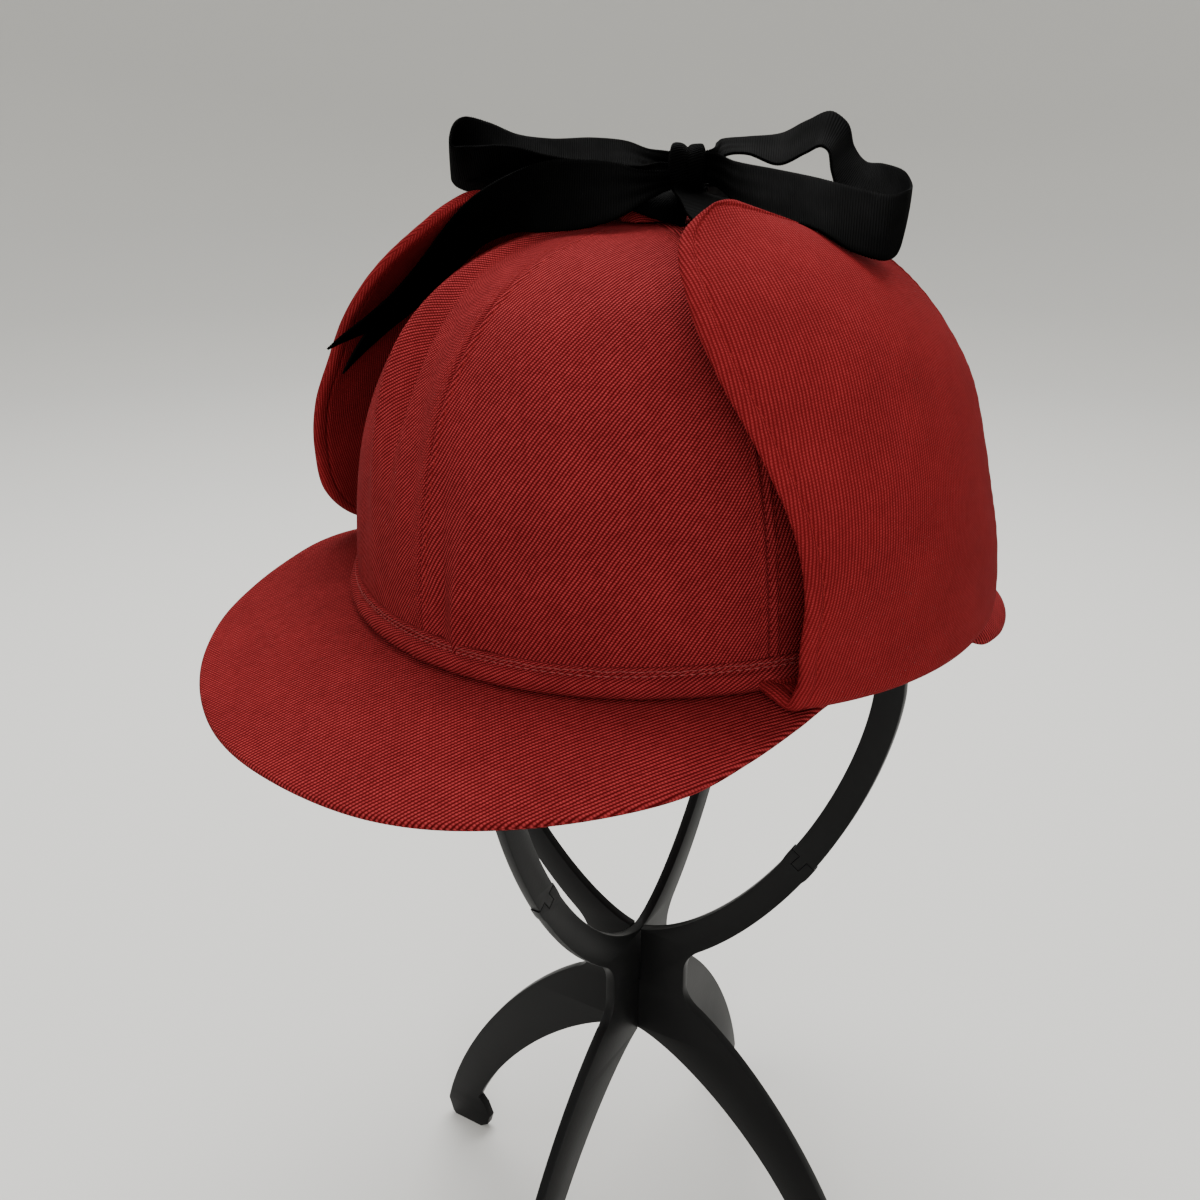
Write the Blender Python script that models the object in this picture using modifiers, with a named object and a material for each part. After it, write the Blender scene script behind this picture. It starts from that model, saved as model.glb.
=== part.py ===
"""A deerstalker hat on its wig stand, at real size, in metres with +Z up.

The hat's front faces -Y and its wearer's left is +X. Sizes below are millimetres and degrees.
The hat is drawn upright about its own axis with the crown's lower edge at height 0, and then
seated on the stand. An angle round the hat runs from the front (0) over the wearer's left (90)
to the back (180). The right side has negative angles.
"""
import math
from collections import namedtuple

import bmesh
import bpy
import numpy as np
from mathutils import Matrix, Vector

MM = 0.001
GAP = 0.3                      # clearance between neighbouring pieces

# Placing. The model's outline is centred over the origin, and the feet stand at height 0.
STAND_AXIS = (-2.1, 6.1)       # where the stand's axis is, so that the outline is centred
STAND_TURN = 13.1              # angle from +X to the stand's first plate
HAT_SEAT = (2.5, 2.5, 271.4)   # middle of the crown's lower edge, from the stand's foot
HAT_TILT = 3.1                 # the front hangs this much lower

# Crown
CROWN_RADIUS = 91.0
CROWN_HEIGHT = 101.8
CROWN_FULLNESS = 2.66          # 2 is an ellipse, more is boxier
CROWN_TAPER = 0.02             # how much the walls lean in half way up
CLOTH = 2.0
SEAM = 0.65                    # slit between two gores
PANEL_START = 8.6              # height where the gores leave the band
PANEL_TIP_RADIUS = 5.4
PANEL_NAMES = ("front_left", "side_left", "back_left", "back_right", "side_right", "front_right")

# Band: the hem that is rolled round the crown's base, as (outward from the crown, height)
BAND_PROFILE = ((0.0, 8.0), (1.6, 7.6), (2.7, 6.2), (3.0, 4.0), (2.7, 1.8), (1.6, 0.4),
                (0.0, 0.0), (-2.5, 0.3), (-2.5, 8.0))

# Button on the crown's tip, as (radius, height above the crown's full height)
BUTTON_PROFILE = ((0.0, 5.2), (3.0, 4.9), (5.5, 3.9), (7.2, 2.1), (7.5, 0.8), (7.0, 0.3),
                  (4.6, 0.3), (4.6, -1.6), (0.0, -1.6))

# Brims
BRIM_THICKNESS = 2.6
BRIM_ROOT = 2.0                # how far the brim reaches in under the crown's edge
BRIM_CURL = 1.4                # 1 is a cone, more droops towards the edge
BrimRow = namedtuple("BrimRow", "angle width drop")
FRONT_BRIM = (
    BrimRow(-79.0, 3.5, 3.6),
    BrimRow(-74.0, 13.0, 3.2),
    BrimRow(-67.0, 21.0, 1.5),
    BrimRow(-60.0, 26.0, 0.9),
    BrimRow(-52.0, 31.5, 2.3),
    BrimRow(-45.0, 37.0, 4.2),
    BrimRow(-38.0, 42.5, 6.2),
    BrimRow(-30.0, 46.6, 8.3),
    BrimRow(-15.0, 50.4, 11.3),
    BrimRow(0.0, 51.0, 10.9),
    BrimRow(15.0, 50.5, 9.7),
    BrimRow(30.0, 46.8, 6.1),
    BrimRow(38.0, 42.6, 4.0),
    BrimRow(45.0, 36.8, 2.7),
    BrimRow(52.0, 27.5, 1.6),
    BrimRow(60.0, 16.5, 1.6),
    BrimRow(67.0, 8.5, 1.9),
    BrimRow(76.0, 3.0, 2.2),
)
BACK_BRIM_SIDE = (             # from the middle of the back to the wearer's left
    BrimRow(180.0, 32.0, 22.0),
    BrimRow(165.0, 30.5, 22.0),
    BrimRow(152.0, 27.0, 21.5),
    BrimRow(142.0, 23.5, 21.0),
    BrimRow(136.0, 21.5, 20.0),
    BrimRow(130.0, 19.0, 19.0),
    BrimRow(124.0, 16.0, 18.0),
    BrimRow(118.0, 13.0, 16.0),
    BrimRow(112.0, 9.5, 14.0),
    BrimRow(108.0, 6.5, 10.5),
    BrimRow(104.0, 3.5, 6.0),
)

# Ear flaps. Each row is a line round the flap through its front edge, side and back edge.
# The rows run from the foot at the band, round the fold and up to the tip.
FLAP_THICKNESS = 3.2
FLAP_SIDE_ANGLE = 89.0
FlapRow = namedtuple("FlapRow", "left_radius left_angle right_radius right_angle front_height "
                                "side_radius side_height back_radius back_angle back_height")
FLAP_ROWS = (
    FlapRow(94.4, 57.0, 94.4, 72.0, 2.8, 94.4, 0.0, 94.4, 115.0, 0.0),
    FlapRow(98.5, 58.0, 98.5, 71.5, 1.9, 97.8, -2.3, 97.4, 115.5, -3.4),
    FlapRow(103.0, 59.0, 104.0, 70.0, 1.4, 101.2, -1.9, 100.4, 116.0, -3.0),
    FlapRow(105.0, 60.0, 108.5, 66.0, 6.0, 102.0, 4.0, 100.6, 116.5, 3.0),
    FlapRow(106.5, 60.0, 112.0, 61.5, 16.0, 102.0, 16.0, 99.5, 117.0, 15.0),
    FlapRow(108.0, 60.0, 113.5, 61.0, 31.0, 101.0, 32.0, 96.5, 117.0, 30.0),
    FlapRow(104.5, 59.0, 109.5, 59.5, 46.0, 98.0, 48.0, 93.0, 118.0, 45.0),
    FlapRow(97.0, 56.0, 100.5, 57.5, 62.0, 92.0, 63.0, 88.5, 119.0, 60.0),
    FlapRow(88.5, 51.5, 89.5, 53.0, 78.0, 83.0, 78.0, 80.5, 120.0, 74.0),
    FlapRow(77.0, 48.5, 77.0, 50.0, 92.0, 70.0, 91.0, 73.0, 120.0, 84.0),
    FlapRow(62.0, 49.0, 62.0, 50.0, 104.0, 57.0, 99.5, 66.0, 118.0, 91.0),
    FlapRow(50.0, 58.0, 50.0, 57.0, 113.0, 49.0, 102.5, 62.0, 113.0, 93.5),
)
FLAP_COLUMNS = 12
FLAP_STEPS = 18

# Ribbon. A station is a line across the ribbon, from its upper edge to its lower edge.
RIBBON_THICKNESS = 1.0
KNOT_CENTRE = (14.9, 0.0, 115.9)
KNOT_TURN = 35.0               # the bow's line, from +X towards the back
KNOT_LENGTH = 10.0
KNOT_DEPTH = 0.78              # front to back, against its height
KNOT_PROFILE = ((0.0, 5.0), (3.6, 5.0), (5.3, 4.2), (6.0, 2.6), (5.6, 0.9), (5.2, 0.0))
Station = namedtuple("Station", "upper_x upper_y upper_z lower_x lower_y lower_z")
LOOP_RIGHT = (
    Station(20.6, 2.1, 119.6, 20.9, 1.8, 112.4),
    Station(24.0, 8.0, 117.0, 31.5, 1.0, 110.0),
    Station(32.5, 15.5, 114.5, 44.5, 0.8, 106.3),
    Station(44.5, 17.0, 112.5, 57.0, -0.6, 103.2),
    Station(56.5, 18.5, 110.0, 66.5, 1.6, 98.6),
    Station(63.5, 21.0, 108.5, 71.8, 6.0, 95.0),
    Station(64.0, 28.0, 109.0, 71.0, 13.0, 95.0),
    Station(60.0, 38.0, 109.5, 68.0, 21.0, 99.0),
    Station(53.5, 45.0, 112.5, 61.5, 28.5, 101.0),
    Station(45.5, 47.5, 114.0, 52.5, 30.0, 103.0),
    Station(39.0, 48.5, 114.5, 44.5, 29.0, 106.5),
    Station(33.5, 50.5, 118.5, 40.0, 30.5, 113.0),
    Station(29.5, 52.0, 125.0, 37.0, 32.5, 118.5),
    Station(26.0, 50.5, 127.5, 35.0, 32.0, 119.5),
    Station(21.0, 46.0, 125.5, 32.5, 28.5, 118.0),
    Station(17.5, 38.5, 122.5, 29.0, 21.5, 115.5),
    Station(12.5, 29.5, 122.0, 23.0, 15.5, 118.5),
    Station(11.5, 18.5, 122.0, 19.5, 10.5, 118.5),
    Station(18.6, 5.0, 120.2, 19.1, 4.2, 114.0),
)
LOOP_LEFT = (
    Station(9.2, -1.4, 120.0, 8.9, -1.7, 113.2),
    Station(-3.0, 3.8, 120.5, 2.5, -2.4, 114.5),
    Station(-13.0, 7.0, 122.0, -4.0, -2.5, 115.5),
    Station(-26.0, 6.0, 123.0, -15.0, -6.0, 115.0),
    Station(-40.5, 2.0, 123.0, -27.5, -11.5, 113.0),
    Station(-49.5, -2.5, 124.5, -37.0, -15.0, 112.5),
    Station(-56.0, -7.5, 128.0, -46.5, -17.5, 112.5),
    Station(-58.5, -14.5, 130.0, -55.0, -18.5, 112.0),
    Station(-54.5, -23.0, 127.0, -62.5, -18.0, 111.0),
    Station(-50.0, -27.5, 123.0, -61.5, -17.0, 110.5),
    Station(-44.5, -25.5, 122.5, -55.5, -13.5, 109.5),
    Station(-35.0, -20.5, 122.5, -46.0, -9.0, 109.5),
    Station(-21.5, -15.6, 119.5, -32.0, -5.5, 109.5),
    Station(-7.6, -10.0, 117.3, -16.0, -1.5, 110.0),
    Station(3.2, -6.4, 116.8, -1.2, -2.4, 110.5),
    Station(10.3, -3.5, 117.5, 10.3, -3.5, 111.2),
)
TAIL_FRONT = (
    Station(11.6, -5.5, 115.5, 12.4, -6.0, 110.6),
    Station(5.0, -9.0, 116.0, 10.0, -13.5, 108.0),
    Station(-1.0, -10.0, 117.5, 7.0, -19.0, 106.5),
    Station(-9.5, -14.0, 118.5, -1.5, -24.5, 103.5),
    Station(-18.5, -20.5, 118.5, -15.0, -26.5, 101.5),
    Station(-27.0, -28.0, 115.0, -31.0, -22.0, 99.5),
    Station(-36.5, -32.5, 109.5, -44.0, -21.5, 96.0),
    Station(-48.5, -35.5, 99.5, -57.5, -19.5, 89.5),
    Station(-55.5, -38.5, 91.5, -66.0, -22.5, 82.0),
    Station(-61.0, -44.5, 83.5, -72.5, -29.5, 75.0),
    Station(-64.5, -52.0, 77.5, -77.5, -38.0, 68.5),
    Station(-67.5, -62.0, 71.5, -80.5, -49.5, 60.5),
    Station(-68.6, -65.0, 69.2, -81.4, -52.6, 58.0),
)
TAIL_BACK = (
    Station(8.4, 1.5, 113.4, 14.5, 4.6, 111.2),
    Station(1.5, 12.5, 111.0, 12.5, 16.5, 110.0),
    Station(-6.0, 24.0, 107.5, 11.5, 28.5, 107.5),
    Station(-11.5, 37.0, 103.8, 9.0, 43.5, 104.0),
    Station(-16.0, 50.5, 98.8, 4.5, 57.5, 98.5),
    Station(-20.0, 63.5, 91.8, 0.5, 71.5, 90.5),
    Station(-23.0, 75.5, 82.5, -3.0, 85.0, 79.5),
)
TIE_LEFT = (
    Station(16.0, 4.5, 109.0, 15.5, -3.0, 109.0),
    Station(24.0, 6.0, 107.6, 22.0, -11.0, 108.0),
    Station(33.0, 4.5, 105.0, 31.0, -16.5, 107.0),
    Station(42.0, 3.0, 101.0, 40.5, -18.5, 105.0),
    Station(49.5, 2.5, 98.6, 48.5, -19.0, 101.5),
)
TIE_RIGHT = (
    Station(13.0, 4.5, 109.0, 13.0, -2.5, 109.0),
    Station(4.0, 8.0, 108.6, 3.0, -4.5, 108.6),
    Station(-8.0, 11.0, 107.6, -9.0, -7.5, 107.8),
    Station(-22.0, 11.0, 105.0, -23.0, -10.5, 106.5),
    Station(-36.0, 10.0, 100.5, -36.5, -11.5, 103.5),
    Station(-48.0, 9.0, 97.4, -49.0, -12.5, 100.5),
)

# Stand. Plates stand upright on its axis, so their outlines are (distance from axis, height).
PLATE_THICKNESS = 3.5
ARM_CENTRE_HEIGHT = 246.0
ARM_REACH = 86.6
ARM_DROP = 127.2
ARM_FULLNESS = 1.54
ARM_WIDTH = 8.8
BOWL_DROP = 113.9
LEG_OFFSET = 7.7
LEG_REACH = 84.8
LEG_HEIGHT = 112.6
LEG_INNER_REACH = 79.2
LEG_INNER_HEIGHT = 88.3
LEG_FULLNESS = 1.46
WAIST_HALF_WIDTH = 19.5
WAIST_CURVE_START = 25.0       # distance from the axis where the waist's curves begin
FOOT_OUTLINE = ((90.5, 5.1), (89.4, 1.4), (88.0, 0.0), (74.5, 0.0), (71.0, 2.6), (69.8, 6.9),
                (72.1, 12.6))
FOOT_TOP = 15.4                # height where the leg's curves end and the foot begins
JOINT_HEIGHT = 179.0           # where an upper arm plugs into the lower one, outside
JOINT_RISE = 5.3               # how much higher the joint's inner end is
SOCKET_LIP = 1.3
SOCKET_LENGTH = 7.0
TONGUE_WIDTH = 3.2
TONGUE_LENGTH = 4.5
DOME_RISE = 124.9              # the dome's top above the arms' widest point
DOME_WIDTH = 9.0
SLOT_WIDTH = PLATE_THICKNESS + 2 * GAP

# Colours as linear red, green and blue, with roughness
RED_TWILL = ((0.22, 0.012, 0.009), 0.85)
BLACK_RIBBON = ((0.008, 0.008, 0.009), 0.6)
BLACK_PLASTIC = ((0.018, 0.018, 0.02), 0.38)


def collection(name):
    made = bpy.data.collections.new(name)
    bpy.context.scene.collection.children.link(made)
    return made


def material(name, look):
    colour, roughness = look
    made = bpy.data.materials.new(name)
    made.use_nodes = True
    shader = made.node_tree.nodes["Principled BSDF"]
    shader.inputs["Base Color"].default_value = (*colour, 1.0)
    shader.inputs["Roughness"].default_value = roughness
    shader.inputs["Metallic"].default_value = 0.0
    return made


def guide(name, parent, location, rotation):
    """An empty that carries pieces, placed in millimetres and degrees."""
    made = bpy.data.objects.new(name, None)
    made.parent = parent
    made.location = [MM * value for value in location]
    made.rotation_euler = [math.radians(value) for value in rotation]
    parts.objects.link(made)
    return made


def add_piece(name, mesh, carrier, look):
    made = bpy.data.objects.new(name, mesh)
    made.parent = carrier
    made.data.materials.append(material(name, look))
    parts.objects.link(made)
    return made


def shade(mesh, sharp_angle=40.0):
    mesh.shade_smooth()
    mesh.set_sharp_from_angle(angle=math.radians(sharp_angle))


def sheet_mesh(name, columns, rows, place):
    """A grid whose point at (u, v), both 0 to 1, is moved to place(u, v) in millimetres."""
    shape = bmesh.new()
    bmesh.ops.create_grid(shape, x_segments=columns, y_segments=rows, size=0.5)
    for vertex in shape.verts:
        vertex.co = MM * Vector(place(vertex.co.x + 0.5, vertex.co.y + 0.5))
    mesh = bpy.data.meshes.new(name)
    shape.to_mesh(mesh)
    shape.free()
    shade(mesh)
    return mesh


def thicken(piece, thickness, offset):
    """offset -1 grows the sheet away from its outer face, 0 to both sides."""
    solidify = piece.modifiers.new("thickness", "SOLIDIFY")
    solidify.thickness = MM * thickness
    solidify.offset = offset


def turned(name, profile, steps, carrier, look):
    """A profile of (radius, height) points, outer side down, turned about the carrier's Z."""
    mesh = bpy.data.meshes.new(name)
    points = [(MM * radius, 0.0, MM * height) for radius, height in profile]
    edges = [(start, start + 1) for start in range(len(points) - 1)]
    mesh.from_pydata(points, edges, [])
    piece = add_piece(name, mesh, carrier, look)
    screw = piece.modifiers.new("turn", "SCREW")
    screw.steps = steps
    screw.render_steps = steps
    screw.use_merge_vertices = True
    screw.merge_threshold = 0.00001
    screw.use_smooth_shade = True
    return piece


def around(radius, angle, height):
    """A point of the hat from its radius, its angle from the front and its height."""
    turn = math.radians(angle)
    return radius * math.sin(turn), -radius * math.cos(turn), height


def smooth_rows(rows, count):
    """count rows on a smooth curve through the given rows, at even distances along it."""
    rows = np.array(rows, float)
    lengths = np.linalg.norm(np.diff(rows, axis=0), axis=1)
    stops = np.concatenate(([0.0], np.cumsum(lengths)))
    slopes = np.gradient(rows, stops, axis=0)
    curve = []
    for place in np.linspace(0.0, stops[-1], count):
        index = min(int(np.searchsorted(stops, place, side="right")) - 1, len(lengths) - 1)
        span = lengths[index]
        t = (place - stops[index]) / span
        curve.append((2 * t**3 - 3 * t**2 + 1) * rows[index]
                     + (t**3 - 2 * t**2 + t) * span * slopes[index]
                     + (3 * t**2 - 2 * t**3) * rows[index + 1]
                     + (t**3 - t**2) * span * slopes[index + 1])
    return np.array(curve)


# ---------------------------------------------------------------- crown, band and button

def crown_profile(climb):
    """Radius and height of the crown's outer face, from its edge (0) to its tip (1)."""
    turn = climb * math.pi / 2
    power = 2 / CROWN_FULLNESS
    radius = CROWN_RADIUS * (math.cos(turn) ** power - CROWN_TAPER * math.sin(2 * turn))
    return radius, CROWN_HEIGHT * math.sin(turn) ** power


def climb_at(reached):
    """The least climb whose (radius, height) satisfies reached, found by halving."""
    low, high = 0.0, 1.0
    for _ in range(40):
        middle = (low + high) / 2
        if reached(*crown_profile(middle)):
            high = middle
        else:
            low = middle
    return high


def add_crown_panel(name, first_angle, carrier):
    start = climb_at(lambda radius, height: height > PANEL_START)
    end = climb_at(lambda radius, height: radius < PANEL_TIP_RADIUS)

    def place(u, v):
        radius, height = crown_profile(start + (end - start) * v)
        half_slit = math.degrees(SEAM / 2 / radius)
        return around(radius, first_angle + half_slit + (60 - 2 * half_slit) * u, height)

    panel = add_piece(name, sheet_mesh(name, 8, 10, place), carrier, RED_TWILL)
    thicken(panel, CLOTH, -1)


def add_crown(carrier):
    for number, place in enumerate(PANEL_NAMES):
        add_crown_panel("crown_panel_" + place, 60 * number, carrier)
    band = [(CROWN_RADIUS + outward, height) for outward, height in BAND_PROFILE]
    turned("crown_band", band + band[:1], 48, carrier, RED_TWILL)
    button = [(radius, CROWN_HEIGHT + height) for radius, height in BUTTON_PROFILE]
    turned("crown_button", button, 16, carrier, RED_TWILL)


# ---------------------------------------------------------------- brims

def add_brim(name, edge_rows, columns, rows, carrier):
    """edge_rows run round the hat with the angle falling, so that the faces look up."""
    edge = smooth_rows(edge_rows, columns + 1)

    def place(u, v):
        row = BrimRow(*edge[round(u * columns)])
        outward = -BRIM_ROOT + (row.width + BRIM_ROOT) * v
        sag = row.drop * max(outward / row.width, 0.0) ** BRIM_CURL
        return around(CROWN_RADIUS + outward, row.angle, -GAP - sag)

    piece = add_piece(name, sheet_mesh(name, columns, rows, place), carrier, RED_TWILL)
    thicken(piece, BRIM_THICKNESS, -1)
    bevel = piece.modifiers.new("rounded edge", "BEVEL")
    bevel.width = MM * 0.9
    bevel.segments = 1
    bevel.limit_method = "ANGLE"
    bevel.angle_limit = math.radians(60)


def add_back_brim(carrier):
    other_side = [row._replace(angle=360 - row.angle) for row in reversed(BACK_BRIM_SIDE[1:])]
    add_brim("back_brim", other_side + list(BACK_BRIM_SIDE), 26, 4, carrier)


# ---------------------------------------------------------------- ear flaps

def add_ear_flap(side, mirror, carrier):
    rows = smooth_rows(FLAP_ROWS, FLAP_STEPS + 1)

    def place(u, v):
        row = FlapRow(*rows[round(v * FLAP_STEPS)])
        front_radius, front_angle = row.left_radius, row.left_angle
        if side == "right":
            front_radius, front_angle = row.right_radius, row.right_angle
        across = u if mirror > 0 else 1 - u
        front, middle, back = ((1 - across) * (1 - 2 * across), 4 * across * (1 - across),
                               across * (2 * across - 1))
        radius = front * front_radius + middle * row.side_radius + back * row.back_radius
        angle = front * front_angle + middle * FLAP_SIDE_ANGLE + back * row.back_angle
        height = front * row.front_height + middle * row.side_height + back * row.back_height
        return around(radius, mirror * angle, height)

    name = "ear_flap_" + side
    flap = add_piece(name, sheet_mesh(name, FLAP_COLUMNS, FLAP_STEPS, place), carrier, RED_TWILL)
    thicken(flap, FLAP_THICKNESS, 0)


# ---------------------------------------------------------------- ribbon

def add_ribbon(name, stations, steps, carrier):
    rows = smooth_rows(stations, steps + 1)

    def place(u, v):
        row = rows[round(v * steps)]
        return row[:3] + (row[3:] - row[:3]) * u

    ribbon = add_piece(name, sheet_mesh(name, 2, steps, place), carrier, BLACK_RIBBON)
    thicken(ribbon, RIBBON_THICKNESS, 0)


def add_knot(carrier):
    """Two wraps side by side, turned about the bow's line and flattened front to back."""
    half = [(radius, height * KNOT_LENGTH / 10) for radius, height in KNOT_PROFILE]
    profile = half + [(radius, -height) for radius, height in half[-2::-1]]
    knot = turned("ribbon_knot", profile, 14, carrier, BLACK_RIBBON)
    squash = Matrix.Diagonal((1.0, KNOT_DEPTH, 1.0, 1.0))
    lay_down = Matrix.Rotation(math.radians(90), 4, "Y")
    knot.matrix_local = (Matrix.Translation(MM * Vector(KNOT_CENTRE))
                         @ Matrix.Rotation(math.radians(KNOT_TURN), 4, "Z") @ squash @ lay_down)


# ---------------------------------------------------------------- stand

def rounded_quarter(reach, height, fullness, turns):
    """Points (distance, fall) on a quarter of a superellipse, at the given turns in degrees."""
    power = 2 / fullness
    return [(reach * math.sin(math.radians(turn)) ** power,
             height * math.cos(math.radians(turn)) ** power) for turn in turns]


def arm_line(reach, drop, turns):
    return [(distance, ARM_CENTRE_HEIGHT - fall)
            for distance, fall in rounded_quarter(reach, drop, ARM_FULLNESS, turns)]


def arm_turn(drop, height):
    """The turn at which an arm's curve is at the given height."""
    fall = (ARM_CENTRE_HEIGHT - height) / drop
    return math.degrees(math.acos(fall ** (ARM_FULLNESS / 2)))


def bend(start, corner, end, count=4):
    """Points on the curve from start to end that is pulled towards corner."""
    points = []
    for step in range(1, count):
        t = step / count
        points.append(tuple((1 - t)**2 * a + 2 * t * (1 - t) * b + t**2 * c
                            for a, b, c in zip(start, corner, end)))
    return points


def joint_ends():
    """Where an arm is divided: its outer and inner end, and the directions across and along."""
    outer = Vector(arm_line(ARM_REACH, ARM_DROP, [arm_turn(ARM_DROP, JOINT_HEIGHT)])[0])
    inner_turn = arm_turn(BOWL_DROP, JOINT_HEIGHT + JOINT_RISE)
    inner = Vector(arm_line(ARM_REACH - ARM_WIDTH, BOWL_DROP, [inner_turn])[0])
    across = (inner - outer).normalized()
    return outer, inner, across, Vector((across.y, -across.x))


def arm_joint(lift):
    """The line across an arm where it is divided, from outside in, round the tongue.

    lift is 0 for the lower arm, which has the socket, and the gap for the upper one.
    """
    outer, inner, across, along = joint_ends()
    middle = (outer + inner) / 2 + along * lift
    half = across * (TONGUE_WIDTH / 2 - lift)
    deep = along * TONGUE_LENGTH
    return [outer + along * lift, middle - half, middle - half - deep,
            middle + half - deep, middle + half, inner + along * lift]


def mirrored(half):
    """A closed outline from its right half, which is listed from bottom to top."""
    return half + [(-distance, height) for distance, height in reversed(half)]


def plate_outline(slot_from_top):
    """Legs, waist and lower arms. The slot at the waist takes the other plate."""
    slot = SLOT_WIDTH / 2
    leg_turns = range(8, 82, 8)
    leg_inner = rounded_quarter(LEG_INNER_REACH, LEG_INNER_HEIGHT, LEG_FULLNESS, leg_turns)
    leg_outer = [(LEG_OFFSET + distance, height) for distance, height in
                 rounded_quarter(LEG_REACH, LEG_HEIGHT, LEG_FULLNESS, range(88, 16, -8))]
    leg_inner = [point for point in leg_inner if point[1] > FOOT_TOP]
    leg_outer = [point for point in leg_outer
                 if FOOT_TOP / 2 < point[1] and point[0] > WAIST_CURVE_START]
    arm_turns = [turn for turn in range(18, 90, 7) if turn < arm_turn(ARM_DROP, JOINT_HEIGHT) - 8]
    arm_outer = [point for point in arm_line(ARM_REACH, ARM_DROP, arm_turns)
                 if point[0] > WAIST_CURVE_START]
    bowl_turns = range(8, int(arm_turn(BOWL_DROP, JOINT_HEIGHT + JOINT_RISE)) - 8, 7)
    bowl = arm_line(ARM_REACH - ARM_WIDTH, BOWL_DROP, reversed(bowl_turns))

    low_waist = (WAIST_HALF_WIDTH, 113.5)
    high_waist = (WAIST_HALF_WIDTH, 121.0)
    waist = (bend(leg_outer[-1], (WAIST_HALF_WIDTH, 107.5), low_waist) + [low_waist, high_waist]
             + bend(high_waist, (WAIST_HALF_WIDTH, 127.0), arm_outer[0]))

    outer, inner, across, along = joint_ends()
    lip = -across * SOCKET_LIP
    socket_outside = [outer - along * SOCKET_LENGTH + lip * 0.2,
                      outer - along * (SOCKET_LENGTH - 1) + lip, outer + lip]
    socket_inside = [inner - lip, inner - along * (SOCKET_LENGTH - 1) - lip,
                     inner - along * SOCKET_LENGTH - lip * 0.2]

    middle = (LEG_INNER_HEIGHT + ARM_CENTRE_HEIGHT - BOWL_DROP) / 2
    arch_top = rounded_quarter(LEG_INNER_REACH, LEG_INNER_HEIGHT, LEG_FULLNESS, [5])[0]
    bowl_bottom = arm_line(ARM_REACH - ARM_WIDTH, BOWL_DROP, [4.9])[0]
    if slot_from_top:
        below = [(0.0, LEG_INNER_HEIGHT), arch_top]
        above = [bowl_bottom, (slot, bowl_bottom[1] - 0.3), (slot, middle - GAP / 2)]
    else:
        below = [(slot, middle + GAP / 2), (slot, LEG_INNER_HEIGHT - 0.5), arch_top]
        above = [bowl_bottom, (0.0, ARM_CENTRE_HEIGHT - BOWL_DROP)]
    half = (below + leg_inner + list(reversed(FOOT_OUTLINE)) + leg_outer + waist + arm_outer
            + socket_outside + arm_joint(0.0)[1:-1] + socket_inside + bowl + above)
    return mirrored([tuple(point) for point in half])


def arch_outline(slot_from_top):
    """Upper arms and dome. The slot at the top takes the other arch."""
    slot = SLOT_WIDTH / 2
    outer_turns = range(int(arm_turn(ARM_DROP, JOINT_HEIGHT)) + 7, 91, 7)
    inner_turns = range(int(arm_turn(BOWL_DROP, JOINT_HEIGHT + JOINT_RISE)) + 7, 91, 7)
    arm_outer = arm_line(ARM_REACH, ARM_DROP, outer_turns)
    arm_inner = arm_line(ARM_REACH - ARM_WIDTH, BOWL_DROP, reversed(inner_turns))

    def dome(reach, rise, turns):
        return [(reach * math.cos(math.radians(turn)),
                 ARM_CENTRE_HEIGHT + rise * math.sin(math.radians(turn))) for turn in turns]

    top = ARM_CENTRE_HEIGHT + DOME_RISE
    underside = top - DOME_WIDTH
    dome_outer = dome(ARM_REACH, DOME_RISE, range(8, 88, 8))
    dome_inner = dome(ARM_REACH - ARM_WIDTH, DOME_RISE - DOME_WIDTH, range(80, 0, -8))
    middle = (top + underside) / 2
    if slot_from_top:
        crossing = [(slot, top - 0.05), (slot, middle - GAP / 2)]
        under = [(0.0, underside)]
    else:
        crossing = [(0.0, top)]
        under = [(slot, underside - 0.02), (slot, middle + GAP / 2)]
    half = (list(reversed(under)) + dome_inner + arm_inner + list(reversed(arm_joint(GAP)))
            + arm_outer + dome_outer + crossing)
    return mirrored([tuple(point) for point in half])


def add_plate(name, outline, turn, carrier):
    """A flat plate from its outline, stood upright through the stand's axis."""
    curve = bpy.data.curves.new(name, "CURVE")
    curve.dimensions = "2D"
    curve.fill_mode = "BOTH"
    curve.extrude = MM * PLATE_THICKNESS / 2
    spline = curve.splines.new("POLY")
    spline.points.add(len(outline) - 1)
    for point, (distance, height) in zip(spline.points, outline):
        point.co = (MM * distance, MM * height, 0.0, 1.0)
    spline.use_cyclic_u = True
    plate = add_piece(name, curve, carrier, BLACK_PLASTIC)
    plate.rotation_euler = (math.radians(90), 0.0, math.radians(turn))


for existing in list(bpy.data.objects):
    bpy.data.objects.remove(existing)
parts = collection("deerstalker_hat_on_stand")

foot_of_stand = guide("stand_axis", None, (*STAND_AXIS, 0.0), (0, 0, 0))
hat_seat = guide("hat_seat", foot_of_stand, HAT_SEAT, (HAT_TILT, 0, 0))

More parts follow.
